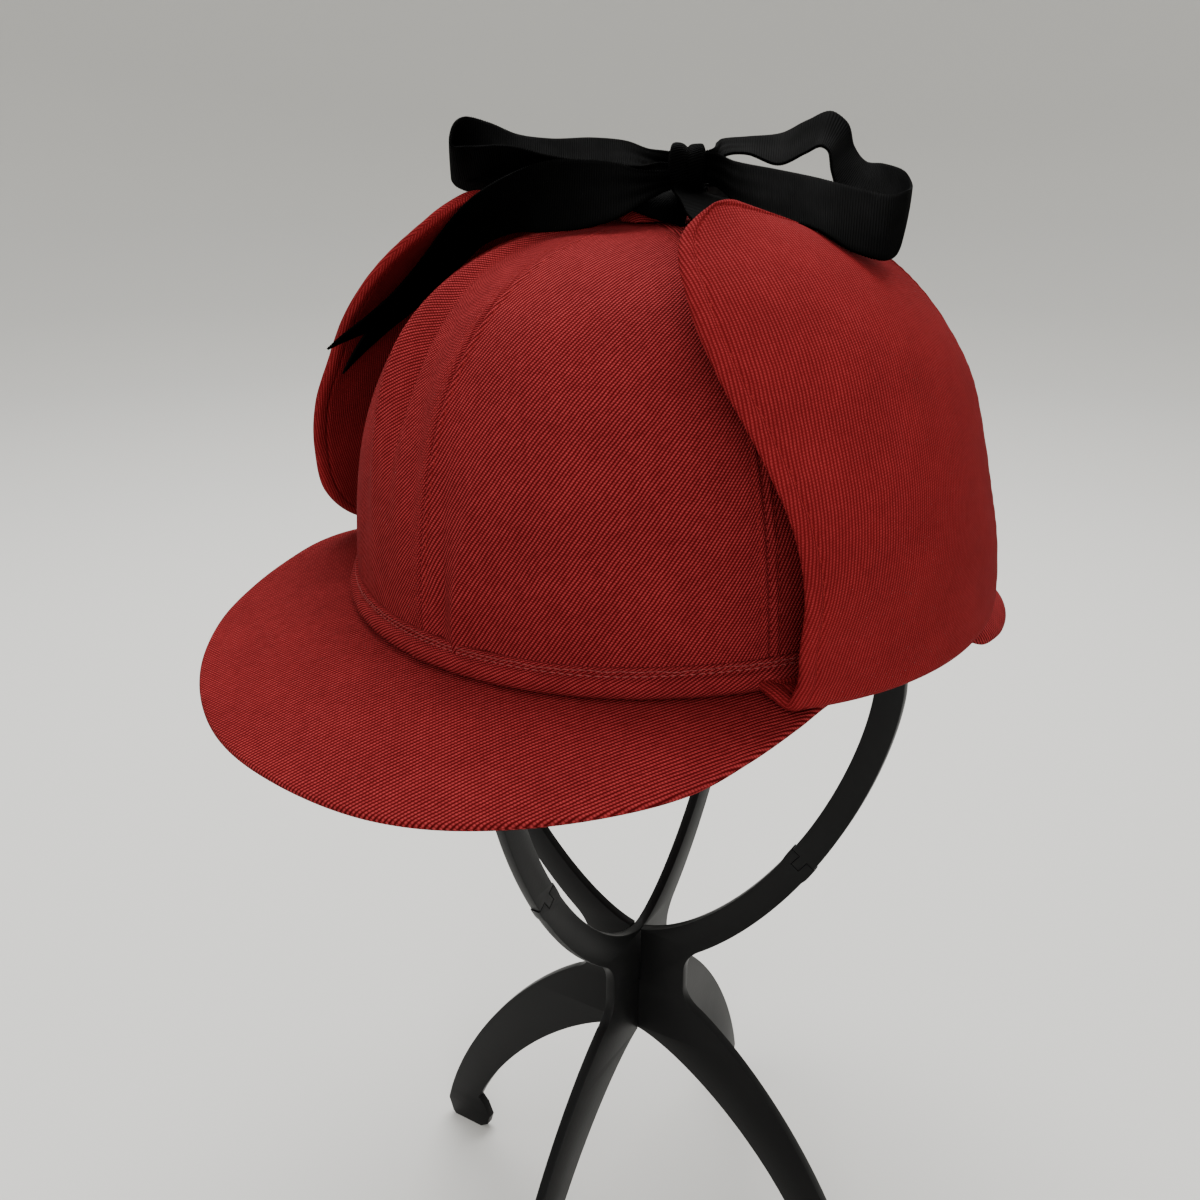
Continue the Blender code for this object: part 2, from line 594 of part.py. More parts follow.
add_crown(hat_seat)
add_brim("front_brim", list(reversed(FRONT_BRIM)), 34, 5, hat_seat)
add_back_brim(hat_seat)
add_ear_flap("left", 1, hat_seat)
add_ear_flap("right", -1, hat_seat)
add_knot(hat_seat)
add_ribbon("ribbon_loop_left", LOOP_LEFT, 24, hat_seat)
add_ribbon("ribbon_loop_right", LOOP_RIGHT, 28, hat_seat)
add_ribbon("ribbon_tail_front", TAIL_FRONT, 20, hat_seat)
add_ribbon("ribbon_tail_back", TAIL_BACK, 12, hat_seat)
add_ribbon("ribbon_tie_left", TIE_LEFT, 8, hat_seat)
add_ribbon("ribbon_tie_right", TIE_RIGHT, 8, hat_seat)
for letter, turn, slot_from_top in (("a", STAND_TURN, True), ("b", STAND_TURN + 90, False)):
    add_plate("stand_plate_" + letter, plate_outline(slot_from_top), turn, foot_of_stand)
    add_plate("stand_arch_" + letter, arch_outline(slot_from_top), turn, foot_of_stand)
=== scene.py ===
"""Looks for a deerstalker hat on its wig stand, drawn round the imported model."""
import math
from collections import namedtuple

import bpy
import numpy as np
from mathutils import Matrix, Vector


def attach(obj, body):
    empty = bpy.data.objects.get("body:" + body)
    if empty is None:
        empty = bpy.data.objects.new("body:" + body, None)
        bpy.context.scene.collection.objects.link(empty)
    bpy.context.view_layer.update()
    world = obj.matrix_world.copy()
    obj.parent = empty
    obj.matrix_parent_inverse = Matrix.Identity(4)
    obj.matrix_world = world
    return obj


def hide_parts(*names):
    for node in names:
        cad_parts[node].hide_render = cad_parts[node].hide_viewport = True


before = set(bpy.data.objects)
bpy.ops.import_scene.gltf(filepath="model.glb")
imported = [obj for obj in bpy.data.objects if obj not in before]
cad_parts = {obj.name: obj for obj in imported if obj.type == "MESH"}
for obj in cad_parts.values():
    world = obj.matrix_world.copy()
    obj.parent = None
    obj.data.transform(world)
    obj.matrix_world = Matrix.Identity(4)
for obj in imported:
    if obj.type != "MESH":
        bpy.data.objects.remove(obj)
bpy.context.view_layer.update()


# ---------------------------------------------------------------- crown panels
# The crown is six gores of red wool and cotton twill, sewn edge to edge up to the button.
# Each seam is pressed open and stitched down on both sides, which puckers the cloth a little.

MM = 0.001                     # sizes are in millimetres here, and in metres in Blender
STAND_AXIS = Vector((-2.1, 6.1, 0.0))
HAT_ON_STAND = Vector((2.5, 2.5, 271.4))   # the middle of the band, from that axis's foot
HAT_TILT = 3.1
HAT_SEAT = (Matrix.Translation(MM * (STAND_AXIS + HAT_ON_STAND))
            @ Matrix.Rotation(math.radians(HAT_TILT), 4, "X"))
CROWN_RADIUS = 91.0
CROWN_HEIGHT = 101.8
CROWN_FULLNESS = 2.66          # the power of its superellipse: 2 is a plain dome
CROWN_TAPER = 0.02
PANEL_START, PANEL_END = 0.0115, 0.981     # along the crown's line, from behind the band
PANEL_THICKNESS = 1.9
PANEL_ROUNDING = 0.25
WELD_REACH = 0.02              # points of cloth closer than this are made one
EDGE_CROWDING = 0.6            # how much closer a grid's lines are at its sides: 0 is evenly
SEAM_SIDE_HIGH, SEAM_SIDE_LOW = 0.55, 0.2  # how the turnings raise the cloth beside a seam
SEAM_SIDE = 1.2                # how far from the seam they do so
SEAM_PINCH, PINCH_WIDTH = 0.7, 0.6         # how far the cloth dips into a seam
SEAM_STITCH = 2.4              # stitch lines lie this far to each side of a seam
STITCH_DIP, DIP_WIDTH = 0.14, 0.5
PUCKER = 0.07                  # how high the cloth ripples between a seam's stitch lines
SEAM_FADE_TOP, SEAM_FADE = 100.5, 14.0     # the seams flatten out below this height
SEAM_DRAG = 4.0                # how far the cloth is pulled down on the right of a gore
LEFT_DRAG = -0.2               # the share of that on its left, where it is pushed up
SEAM_DRAG_REACH = 5.0
SLACK = 0.16                   # how far the cloth wanders in and out where nothing holds it
SLACK_FADE_TOP, SLACK_FADE = 98.0, 30.0
GORE_ANGLE = 60.0
GORE_OVERLAP = 0.1             # how far a gore runs past its seams, in degrees


def table(kind, rows):
    """Rows whose columns are named by a kind of named tuple."""
    return [kind(*row) for row in rows]


Gore = namedtuple("Gore", "name first_angle wale_angle")
GORES = table(Gore, (
    ("crown_panel_front_left", 0, 54),
    ("crown_panel_side_left", 60, 58),
    ("crown_panel_back_left", 120, 122),
    ("crown_panel_back_right", 180, 58),
    ("crown_panel_side_right", 240, 62),
    ("crown_panel_front_right", 300, 52),
))
Fold = namedtuple("Fold", "angle height half_width half_height lean depth")
CROWN_FOLDS = table(Fold, (
    (4.5, 36, 2.6, 22, 0.05, -0.9),
    (9.5, 30, 3, 26, -0.18, 0.8),
    (4.6, 15, 2.4, 12, -0.10, -1.2),
    (8.6, 14, 1.8, 11, -0.10, 1.5),
    (17, 22, 5, 20, -0.30, -0.8),
    (-4, 40, 3.2, 24, 0.10, -0.7),
    (-17.5, 70, 3, 22, 0.30, -3.8),
    (-10.5, 70, 6.5, 26, 0.30, -2.6),
    (-24.5, 72, 3, 24, 0.30, 3),
    (-22, 40, 5, 36, 0, -0.5),
    (30, 52, 14, 30, 0.2, -0.5),
    (52, 30, 6, 30, 0.1, 0.5),
    (66, 40, 7, 34, 0, -0.7),
    (112, 40, 6, 30, 0.1, 0.7),
    (140, 34, 7, 30, -0.2, -0.8),
    (172, 40, 4, 30, 0.1, -0.8),
    (188, 30, 5, 24, -0.1, 0.6),
    (214, 44, 9, 34, 0.2, -0.7),
    (247, 32, 6, 26, -0.1, 0.6),
    (-40, 50, 8, 30, 0.1, -0.5),
))


def unit(vectors):
    return vectors / np.linalg.norm(vectors, axis=1)[:, None]


def run_along(points):
    """How far each point of a line lies from its start, measured along it."""
    return np.concatenate(([0.0], np.linalg.norm(np.diff(points, axis=0), axis=1).cumsum()))


def placed(points, seat):
    """Points that are given in a seat's own axes, where the seat puts them."""
    return points @ np.array(seat.to_3x3()).T + np.array(seat.translation)


def crown_line(climb):
    """Radius and height of the crown's outer face, from its edge (0) to its tip (1)."""
    turn = climb * math.pi / 2
    power = 2 / CROWN_FULLNESS
    radius = CROWN_RADIUS * (np.cos(turn) ** power - CROWN_TAPER * np.sin(2 * turn))
    return radius, CROWN_HEIGHT * np.sin(turn) ** power


def around(radius, angle, height):
    """Points of the hat from their radius, their angle from the front and their height."""
    turn = np.radians(angle)
    return np.stack((radius * np.sin(turn), -radius * np.cos(turn), height + 0 * turn), axis=-1)


def bump(distance, half_width):
    """A smooth ridge, 1 at its crest."""
    return np.exp(-(distance / half_width) ** 2)


def angle_between(angle, other):
    return (angle - other + 180) % 360 - 180


def past_seam(angle):
    """The angle from the nearest of the crown's seams."""
    return angle_between(angle, GORE_ANGLE * np.round(angle / GORE_ANGLE))


def crown_relief(angle, radius, height):
    """How far the cloth stands out from the plain crown: seams, folds and slack."""
    from_seam = np.radians(np.abs(past_seam(angle))) * radius
    fade = np.clip((SEAM_FADE_TOP - height) / SEAM_FADE, 0.25, 1)
    raised = np.where(past_seam(angle) > 0, SEAM_SIDE_HIGH, SEAM_SIDE_LOW)
    relief = raised * bump(from_seam - SEAM_SIDE, SEAM_SIDE)
    relief = relief - SEAM_PINCH * bump(from_seam, PINCH_WIDTH)
    relief = relief - STITCH_DIP * bump(from_seam - SEAM_STITCH, DIP_WIDTH)
    uneven = np.sin(height / 1.9 + 1.3 * np.sin(height / 7.0 + angle / 19))
    relief = fade * (relief + PUCKER * uneven * bump(from_seam - 2.0, 2.2))
    for fold in CROWN_FOLDS:
        rise = height - fold.height
        sideways = np.radians(angle_between(angle, fold.angle)) * radius + fold.lean * rise
        ridge = bump(sideways, fold.half_width) * bump(rise, fold.half_height)
        relief = relief + fold.depth * ridge
    wander = (np.sin(angle / 9.0 + height / 13.0) * np.sin(height / 17.0 - angle / 23.0)
              + 0.5 * np.sin(angle / 4.3 - height / 9.0 + 1.7))
    return relief + SLACK * wander * np.clip((SLACK_FADE_TOP - height) / SLACK_FADE, 0, 1)


def near_edges(u):
    """Brings a grid's lines together at its two sides, where the cloth is turned and sewn."""
    return u - EDGE_CROWDING / (2 * math.pi) * np.sin(2 * math.pi * u)


def cloth_grid(name, columns, rows, place, lay_flat=None, drag=0.0):
    """A grid of cloth whose point at (u, v), both 0 to 1, lies at place(u, v) on the hat.

    Its map holds each point's place on the cloth as if it were cut flat, in metres: the one
    that lay_flat(u, v) gives in millimetres, or the one measured along the grid. drag is how
    far the cloth is pulled down along its sides, in millimetres.
    """
    bpy.ops.object.select_all(action="DESELECT")
    bpy.ops.mesh.primitive_grid_add(x_subdivisions=columns, y_subdivisions=rows, size=1)
    piece = bpy.context.object
    piece.name = piece.data.name = name
    count = len(piece.data.vertices)
    spots = np.empty(3 * count)
    piece.data.vertices.foreach_get("co", spots)
    spots = spots.reshape(-1, 3)[:, :2] + 0.5
    points = place(spots[:, 0], spots[:, 1])
    column = np.rint(spots[:, 0] * columns).astype(int)
    row = np.rint(spots[:, 1] * rows).astype(int)
    grid = np.empty((rows + 1, columns + 1, 3))
    grid[row, column] = points
    across = np.linalg.norm(np.diff(grid, axis=1), axis=2).cumsum(axis=1)
    across = np.concatenate((np.zeros((rows + 1, 1)), across), axis=1)
    across -= across[:, columns // 2][:, None]
    upward = run_along(grid[:, columns // 2])
    from_side = across[row, -1] - np.abs(across[row, column])
    pull = drag * np.where(spots[:, 0] > 0.5, 1, LEFT_DRAG)
    pulled = pull * np.exp(-from_side / SEAM_DRAG_REACH)
    flat = np.stack((across[row, column], upward[row] - pulled), axis=-1)
    if lay_flat is not None:
        flat = lay_flat(spots[:, 0], spots[:, 1])

    piece.data.vertices.foreach_set("co", placed(MM * points, HAT_SEAT).ravel())
    corners = np.empty(len(piece.data.loops), dtype=int)
    piece.data.loops.foreach_get("vertex_index", corners)
    piece.data.uv_layers[0].name = "cloth"
    piece.data.uv_layers[0].uv.foreach_set("vector", MM * flat[corners].ravel())
    piece.data.update()
    return piece


def weld_ends(piece, reach=WELD_REACH):
    """Merges the two sides of a grid that goes all round, and the end that comes to a point."""
    weld = piece.modifiers.new("close", "WELD")
    weld.merge_threshold = MM * reach
    bpy.ops.object.modifier_apply(modifier=weld.name)


def close_shell(piece):
    """Merges the edges of a grid, or of two joined ones, that meet, and turns its faces out."""
    bpy.context.view_layer.objects.active = piece
    bpy.ops.object.mode_set(mode="EDIT")
    bpy.ops.mesh.select_all(action="SELECT")
    bpy.ops.mesh.remove_doubles(threshold=MM * WELD_REACH)
    bpy.ops.mesh.normals_make_consistent(inside=False)
    bpy.ops.object.mode_set(mode="OBJECT")
    piece.data.shade_smooth()


def turn_weave(piece, wale_angle):
    """Turns the cloth's map by an angle, so that its first axis runs along the wales."""
    turn = math.radians(wale_angle)
    layer = piece.data.uv_layers[0]
    flat = np.empty(2 * len(layer.uv))
    layer.uv.foreach_get("vector", flat)
    x, y = flat.reshape(-1, 2).T
    turned = np.stack((x * math.cos(turn) + y * math.sin(turn),
                       y * math.cos(turn) - x * math.sin(turn)), axis=-1)
    layer.uv.foreach_set("vector", turned.ravel())


def give_wall(piece, thickness, rounding, offset=-1):
    """Thickens a sheet, behind its face or with offset 0 to both sides, and bevels its edges."""
    solidify = piece.modifiers.new("wall", "SOLIDIFY")
    solidify.thickness = MM * thickness
    solidify.offset = offset
    bevel = piece.modifiers.new("edge", "BEVEL")
    bevel.width = MM * rounding
    bevel.segments = 1
    bevel.limit_method = "ANGLE"
    bevel.angle_limit = math.radians(60)
    bpy.context.view_layer.objects.active = piece
    for modifier in list(piece.modifiers):
        bpy.ops.object.modifier_apply(modifier=modifier.name)
    piece.data.shade_smooth()


def finish_piece(piece, finish, slot, *nodes):
    """Gives a piece its finish, hangs it under the root and hides the nodes of the model that it
    stands for.
    """
    piece.data.materials.clear()
    piece.data.materials.append(finish)
    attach(piece, "root")
    if nodes:
        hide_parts(*nodes)


# Red twill: fine diagonal wales of twisted yarn, each a row of short slanted floats.
WALE = 0.9                     # from one wale to the next
FLOAT = 0.66                   # from one float to the next along a wale
WALE_SWAY = 0.5                # how far a wale wanders from its line
BETWEEN_FLOATS = 0.42          # how high a wale still is between two floats, as a share
FLOAT_SHIFT = 0.18             # how much later the floats of the next wale start, as a share
FLOAT_SLANT = 0.3
YARN_STREAKS = 420.0           # how often the yarn changes along its length, in a metre
CLOTH_IOR = 1.2                # cloth shines less than a solid surface does


class Nodes:
    """Adds nodes to a tree, whose inputs are given as values or as the sockets to link."""

    def __init__(self, tree):
        self.tree = tree

    def add(self, kind, output=0, **settings):
        inputs = settings.pop("inputs", {})
        made = self.tree.nodes.new(kind)
        for key, value in settings.items():
            setattr(made, key, value)
        self.give(made, inputs)
        return made.outputs[output]

    def give(self, node, inputs):
        for key, value in inputs.items():
            if isinstance(value, bpy.types.NodeSocket):
                self.tree.links.new(value, node.inputs[key])
            else:
                node.inputs[key].default_value = value

    def math(self, operation, *values):
        return self.add("ShaderNodeMath", operation=operation, inputs=dict(enumerate(values)))

    def times(self, value, factor):
        return self.math("MULTIPLY", value, factor)

    def humps(self, value):
        """0 at each whole number and 1 halfway between."""
        return self.math("ABSOLUTE", self.math("SINE", self.times(value, math.pi)))

    def noise(self, place, scale, detail, roughness=0.5):
        return self.add("ShaderNodeTexNoise", inputs={
            "Vector": place, "Scale": scale, "Detail": detail, "Roughness": roughness})

    def mix(self, factor, first, second):
        return self.add("ShaderNodeMix", output=2, data_type="RGBA",
                        inputs={0: factor, 6: first, 7: second})

    def span(self, value, low, high, to_low, to_high):
        return self.add("ShaderNodeMapRange", inputs={
            "Value": value, "From Min": low, "From Max": high, "To Min": to_low,
            "To Max": to_high})

    def bump(self, height, strength, depth):
        return self.add("ShaderNodeBump", inputs={"Height": height, "Strength": strength,
                                                  "Distance": MM * depth})


def new_finish(name):
    """A new material, with what adds its nodes and with its shader."""
    made = bpy.data.materials.new(name)
    made.use_nodes = True
    return made, Nodes(made.node_tree), made.node_tree.nodes["Principled BSDF"]


def make_twill_group():
    group = bpy.data.node_groups.new("twill_weave", "ShaderNodeTree")
    sockets = group.interface
    sockets.new_socket("Cloth", in_out="INPUT", socket_type="NodeSocketVector")
    sockets.new_socket("Wale", in_out="INPUT", socket_type="NodeSocketFloat")
    sockets.new_socket("Float", in_out="INPUT", socket_type="NodeSocketFloat")
    for name in ("Height", "Yarn", "Heather"):
        sockets.new_socket(name, in_out="OUTPUT", socket_type="NodeSocketFloat")
    n = Nodes(group)
    given = group.nodes.new("NodeGroupInput").outputs
    split = group.nodes.new("ShaderNodeSeparateXYZ")
    group.links.new(given["Cloth"], split.inputs[0])

    # The wales run along X and sway a little.
    drift = n.math("SUBTRACT", n.noise(given["Cloth"], 160.0, 1.0), 0.5)
    row = n.math("ADD", split.outputs["Y"], n.times(drift, MM * WALE_SWAY))
    row = n.math("DIVIDE", row, given["Wale"])
    whole_row = n.math("FLOOR", row)
    ridge = n.math("POWER", n.humps(row), 1.5)

    # The floats are pearls along each wale. They slant across it.
    step = n.math("DIVIDE", split.outputs["X"], given["Float"])
    step = n.math("ADD", step, n.times(whole_row, FLOAT_SHIFT))
    step = n.math("ADD", step, n.times(row, FLOAT_SLANT))
    pearl = n.times(n.humps(step), 1 - BETWEEN_FLOATS)
    height = n.times(ridge, n.math("ADD", BETWEEN_FLOATS, pearl))

    # Each wale is a yarn of its own, light and dark along its length, and the dye is uneven.
    spun = n.add("ShaderNodeCombineXYZ", inputs={0: n.times(split.outputs["X"], YARN_STREAKS),
                                                 1: n.times(whole_row, 3.7)})
    yarn = n.noise(spun, 1.0, 2.0)
    heather = n.noise(given["Cloth"], 55.0, 4.0, 0.6)
    n.give(group.nodes.new("NodeGroupOutput"), {"Height": height, "Yarn": yarn,
                                                "Heather": heather})
    return group


twill_group = make_twill_group()


def make_twill(name, groove_shade, ridge, wale=WALE, strength=0.75):
    """Twill with painted shade as its colour in the grooves and its colour on top of the wales,
    as linear light.
    """
    made, n, shader = new_finish(name)
    weave = n.tree.nodes.new("ShaderNodeGroup")
    weave.node_tree = twill_group
    n.give(weave, {"Cloth": n.add("ShaderNodeUVMap", uv_map="cloth"), "Wale": MM * wale,
                   "Float": MM * wale * FLOAT / WALE})
    raised = n.span(weave.outputs["Height"], 0.15, 0.9, 0.0, 1.0)
    raised = n.times(raised, n.span(weave.outputs["Yarn"], 0.3, 0.7, 0.75, 1.15))
    # Painted shade: the colour darkens from the wale tops down into the grooves between them.
    colour = n.mix(raised, (*groove_shade, 1), (*ridge, 1))
    tone = n.span(weave.outputs["Heather"], 0.35, 0.65, 0.93, 1.07)
    toned = n.add("ShaderNodeVectorMath", operation="SCALE", inputs={0: colour, "Scale": tone})
    n.give(shader, {"Base Color": toned, "Roughness": n.span(raised, 0.0, 1.0, 0.95, 0.78),
                    "IOR": CLOTH_IOR, "Specular IOR Level": 0.1,
                    "Normal": n.bump(weave.outputs["Height"], strength, 0.4)})
    return made


# Each twill's first colour is painted shade in its grooves; the second is the colour on top of
# its wales.
red_twill = make_twill("red_twill", (0.058, 0.0025, 0.0030), (0.300, 0.0290, 0.0320))


def crown_panel_place(gore):
    def place(u, v):
        climb = PANEL_START + (PANEL_END - PANEL_START) * v
        radius, height = crown_line(climb)
        ahead, ahead_height = crown_line(np.minimum(climb + 0.004, 0.9999))
        lean, rise = ahead - radius, ahead_height - height
        length = np.hypot(lean, rise)
        angle = gore.first_angle - GORE_OVERLAP + (GORE_ANGLE + 2 * GORE_OVERLAP) * u
        relief = crown_relief(angle, np.maximum(radius, 3.0), height)
        return around(radius + relief * rise / length, angle, height - relief * lean / length)
    return place


for gore in GORES:
    place = crown_panel_place(gore)
    panel = cloth_grid(gore.name + "_cloth", 100, 120, lambda u, v: place(near_edges(u), v),
                       drag=SEAM_DRAG)
    turn_weave(panel, gore.wale_angle)
    give_wall(panel, PANEL_THICKNESS, PANEL_ROUNDING)
    finish_piece(panel, red_twill, "red_twill", gore.name)


# Stitching: a tone-on-tone thread, pulled a little into the cloth.
Stitch = namedtuple("Stitch", "pitch length thickness lift")
TOPSTITCH = Stitch(2.6, 1.6, 0.34, 0.03)
STITCH_SKEW = 0.12             # the stitches don't lie quite straight
STITCHED_FROM, STITCHED_TO = 0.04, 0.93    # along a gore, as shares of its length
OBJECT_PLACE = 3               # the output of Texture Coordinate that is called Object


def make_thread(name, dark, light):
    """Matt thread in its two tones, as linear light."""
    made, n, shader = new_finish(name)
    twist = n.noise(n.add("ShaderNodeTexCoord", OBJECT_PLACE), 2600.0, 1.0)
    n.give(shader, {"Base Color": n.mix(twist, (*dark, 1), (*light, 1)), "Roughness": 0.75,
                    "Specular IOR Level": 0.05, "Normal": n.bump(twist, 0.4, 0.1)})
    return made


red_thread = make_thread("red_thread", (0.11, 0.005, 0.005), (0.25, 0.020, 0.019))

# One stitch is modelled, 1 mm across, and all the rows are made of it.
bpy.ops.object.select_all(action="DESELECT")
bpy.ops.mesh.primitive_uv_sphere_add(segments=6, ring_count=4, radius=0.5)
stitch_mesh = bpy.context.object.data
stitch_points = np.array([vertex.co[:] for vertex in stitch_mesh.vertices])
stitch_faces = [list(face.vertices) for face in stitch_mesh.polygons]
bpy.ops.object.delete()


def on_cloth(place, u, v, lift):
    """Points at a height over a cloth grid's face at (u, v), and the way out of it there."""
    step = 1e-3
    along_u = place(u + step, v) - place(u - step, v)
    along_v = place(u, v + step) - place(u, v - step)
    outward = unit(np.cross(along_u, along_v))
    return place(u, v) + lift * outward, outward


def sew(name, place, u, v, stitch, thread=red_thread, steps=600):
    """A row of stitches along the line through (u, v) on a cloth grid's face.

    steps says in how many steps the line is measured.
    """
    given, fine = np.linspace(0, 1, len(u)), np.linspace(0, 1, steps)
    path, outward = on_cloth(place, np.interp(fine, given, u), np.interp(fine, given, v),
                             stitch.lift)
    run = run_along(path)
    stops = np.arange(0.5 * stitch.pitch, run[-1], stitch.pitch)

    def at(stops, values):
        return np.stack([np.interp(stops, run, values[:, axis]) for axis in range(3)], axis=-1)

    ahead = unit(at(stops + 0.5, path) - at(stops - 0.5, path))
    up = at(stops, outward)
    up = unit(up - ahead * np.sum(ahead * up, axis=1)[:, None])
    side = np.cross(up, ahead)
    ahead = ahead + STITCH_SKEW * np.sin(2.3 * np.arange(len(stops)))[:, None] * side
    shape = stitch_points * (stitch.length, stitch.thickness, stitch.thickness * 0.8)
    points = at(stops, path)[:, None] + sum(
        shape[None, :, axis, None] * way[:, None] for axis, way in enumerate((ahead, side, up)))
    faces = [[corner + number * len(stitch_points) for corner in face]
             for number in range(len(stops)) for face in stitch_faces]
    mesh = bpy.data.meshes.new(name)
    mesh.from_pydata(placed(MM * points.reshape(-1, 3), HAT_SEAT).tolist(), [], faces)
    mesh.shade_smooth()
    row = bpy.data.objects.new(name, mesh)
    bpy.context.scene.collection.objects.link(row)
    finish_piece(row, thread, "red_twill")


for gore in GORES:
    place = crown_panel_place(gore)
    climbs = np.linspace(STITCHED_FROM, STITCHED_TO, 60)
    radii = crown_line(PANEL_START + (PANEL_END - PANEL_START) * climbs)[0]
    inset = np.degrees(SEAM_STITCH / radii) / GORE_ANGLE
    sew(gore.name + "_stitches_a", place, inset, climbs, TOPSTITCH)
    sew(gore.name + "_stitches_b", place, 1 - inset, climbs, TOPSTITCH)


# ---------------------------------------------------------------- band and button
# The band is the crown's hem, rolled outwards over a cord and stitched down above it.
# The button is a small dome covered in the same twill, sewn on where the gores meet.

BandPoint = namedtuple("BandPoint", "outward height")
BAND_PROFILE = table(BandPoint, (
    (-0.8, 0.1),
    (0.6, 0.0),
    (1.9, 0.5),
    (2.7, 1.5),
    (2.9, 2.8),
    (2.6, 4.1),
    (1.8, 5.2),
    (0.7, 5.8),
    (0.75, 6.3),
    (0.95, 6.8),
    (0.75, 7.3),
    (0.9, 7.8),
    (0.6, 8.1),
    (-0.7, 8.1),
))
BAND_GIRTH = 15.5              # the length of that profile
BAND_WALL = 0.9
BAND_ROUNDING = 0.3
BAND_SWELL, SWELL_WIDTH = 0.45, 2.4        # how the hem swells where it passes over a seam
BAND_UNEVEN = 0.12
BAND_PUCKER = 0.08
BAND_SWAY = 0.2                # how far its upper edge goes up and down
HEM_ROW, TOP_ROW = 0.735, 0.835            # how far up the profile its two rows of stitches run
HEM_STITCH = Stitch(2.3, 2.0, 0.36, 0.10)
TOP_STITCH = Stitch(2.1, 2.4, 0.26, 0.16)


def curve_through(rows):
    """A function that gives points, at t from 0 to 1, on a smooth curve through the rows."""
    rows = np.array(rows, float)
    stops = run_along(rows)
    slopes = np.gradient(rows, stops, axis=0)

    def at(t):
        place = np.clip(t, 0, 1) * stops[-1]
        last = np.clip(np.searchsorted(stops, place, side="right") - 1, 0, len(rows) - 2)
        coming = last + 1
        span = (stops[coming] - stops[last])[:, None]
        k = (place - stops[last])[:, None] / span
        held = (1 + 2 * k) * (1 - k)**2 * rows[last] + (3 - 2 * k) * k**2 * rows[coming]
        turned = k * (1 - k)**2 * slopes[last] - k**2 * (1 - k) * slopes[coming]
        return held + span * turned
    return at


band_profile = curve_through(BAND_PROFILE)


def band_place(u, v):
    """Round the hat from its back. The hem is a little uneven, and puckers at its stitches."""
    angle = 180 + 360 * u
    outward, height = band_profile(v).T
    rolled = np.clip((outward - 0.9) / 2, 0, 1)
    swell = BAND_SWELL * bump(np.radians(past_seam(angle)) * CROWN_RADIUS, SWELL_WIDTH)
    uneven = BAND_UNEVEN * np.sin(angle * 1.13) * np.sin(angle * 0.31 + height / 3)
    pucker = BAND_PUCKER * np.sin(angle * 1.5 + np.sin(angle / 5)) * bump(height - 7.9, 1.2)
    radius = CROWN_RADIUS + outward + rolled * (swell + uneven) + pucker
    return around(radius, angle, height + BAND_SWAY * np.sin(angle / 9) * v)


def band_flat(u, v):
    return np.stack((2 * math.pi * CROWN_RADIUS * u, BAND_GIRTH * v), axis=-1)


band = cloth_grid("crown_band_cloth", 480, 40, band_place, band_flat)
turn_weave(band, 38)
weld_ends(band)
give_wall(band, BAND_WALL, BAND_ROUNDING)
finish_piece(band, red_twill, "red_twill", "crown_band")
pale_thread = make_thread("pale_thread", (0.15, 0.020, 0.020), (0.31, 0.066, 0.063))
round_hat = np.linspace(0, 1, 1200)
hem_stray = 0.012 * np.sin(round_hat * 61)
top_stray = (0.022 * np.sin(round_hat * 163) * np.sin(round_hat * 47)
             + 0.010 * np.sin(round_hat * 410))
sew("crown_band_stitches_a", band_place, round_hat, HEM_ROW + hem_stray, HEM_STITCH,
    pale_thread, 1500)
sew("crown_band_stitches_b", band_place, round_hat, TOP_ROW + top_stray, TOP_STITCH,
    pale_thread, 1500)

BUTTON_RADIUS = 7.5
BUTTON_HEIGHT = 5.2
BUTTON_WALL = 0.9
BUTTON_ROUNDING = 0.2
BUTTON_LIFT = 0.3              # its edge stands this far off the crown's tip
BUTTON_CLOTH_RADIUS = 11.0     # of the round of cloth that covers it
BUTTON_TIP = 0.2               # the radius at its top, where the grid's points are joined
GATHERS, GATHER_DEPTH = 11, 0.22


def button_place(u, v):
    turn = math.pi / 2 * v
    radius = BUTTON_RADIUS * np.cos(turn) ** 0.8 + BUTTON_TIP
    height = CROWN_HEIGHT + BUTTON_LIFT + (BUTTON_HEIGHT - BUTTON_LIFT) * np.sin(turn)
    gather = GATHER_DEPTH * np.sin(2 * math.pi * u * GATHERS) * np.cos(turn) ** 2
    return around(radius + gather, 360 * u, height)


def button_flat(u, v):
    return around(BUTTON_CLOTH_RADIUS * (1 - v), 360 * u, 0)[:, :2]


button = cloth_grid("crown_button_cloth", 66, 16, button_place, button_flat)
turn_weave(button, 35)
weld_ends(button, 2 * WELD_REACH)
give_wall(button, BUTTON_WALL, BUTTON_ROUNDING)
finish_piece(button, red_twill, "red_twill", "crown_button")


# ---------------------------------------------------------------- brims
# Each brim is two layers of twill over a thin stiffener, turned and pressed at the edge.
# The front one dips in the middle and the back one droops, and both are sewn in under the band.

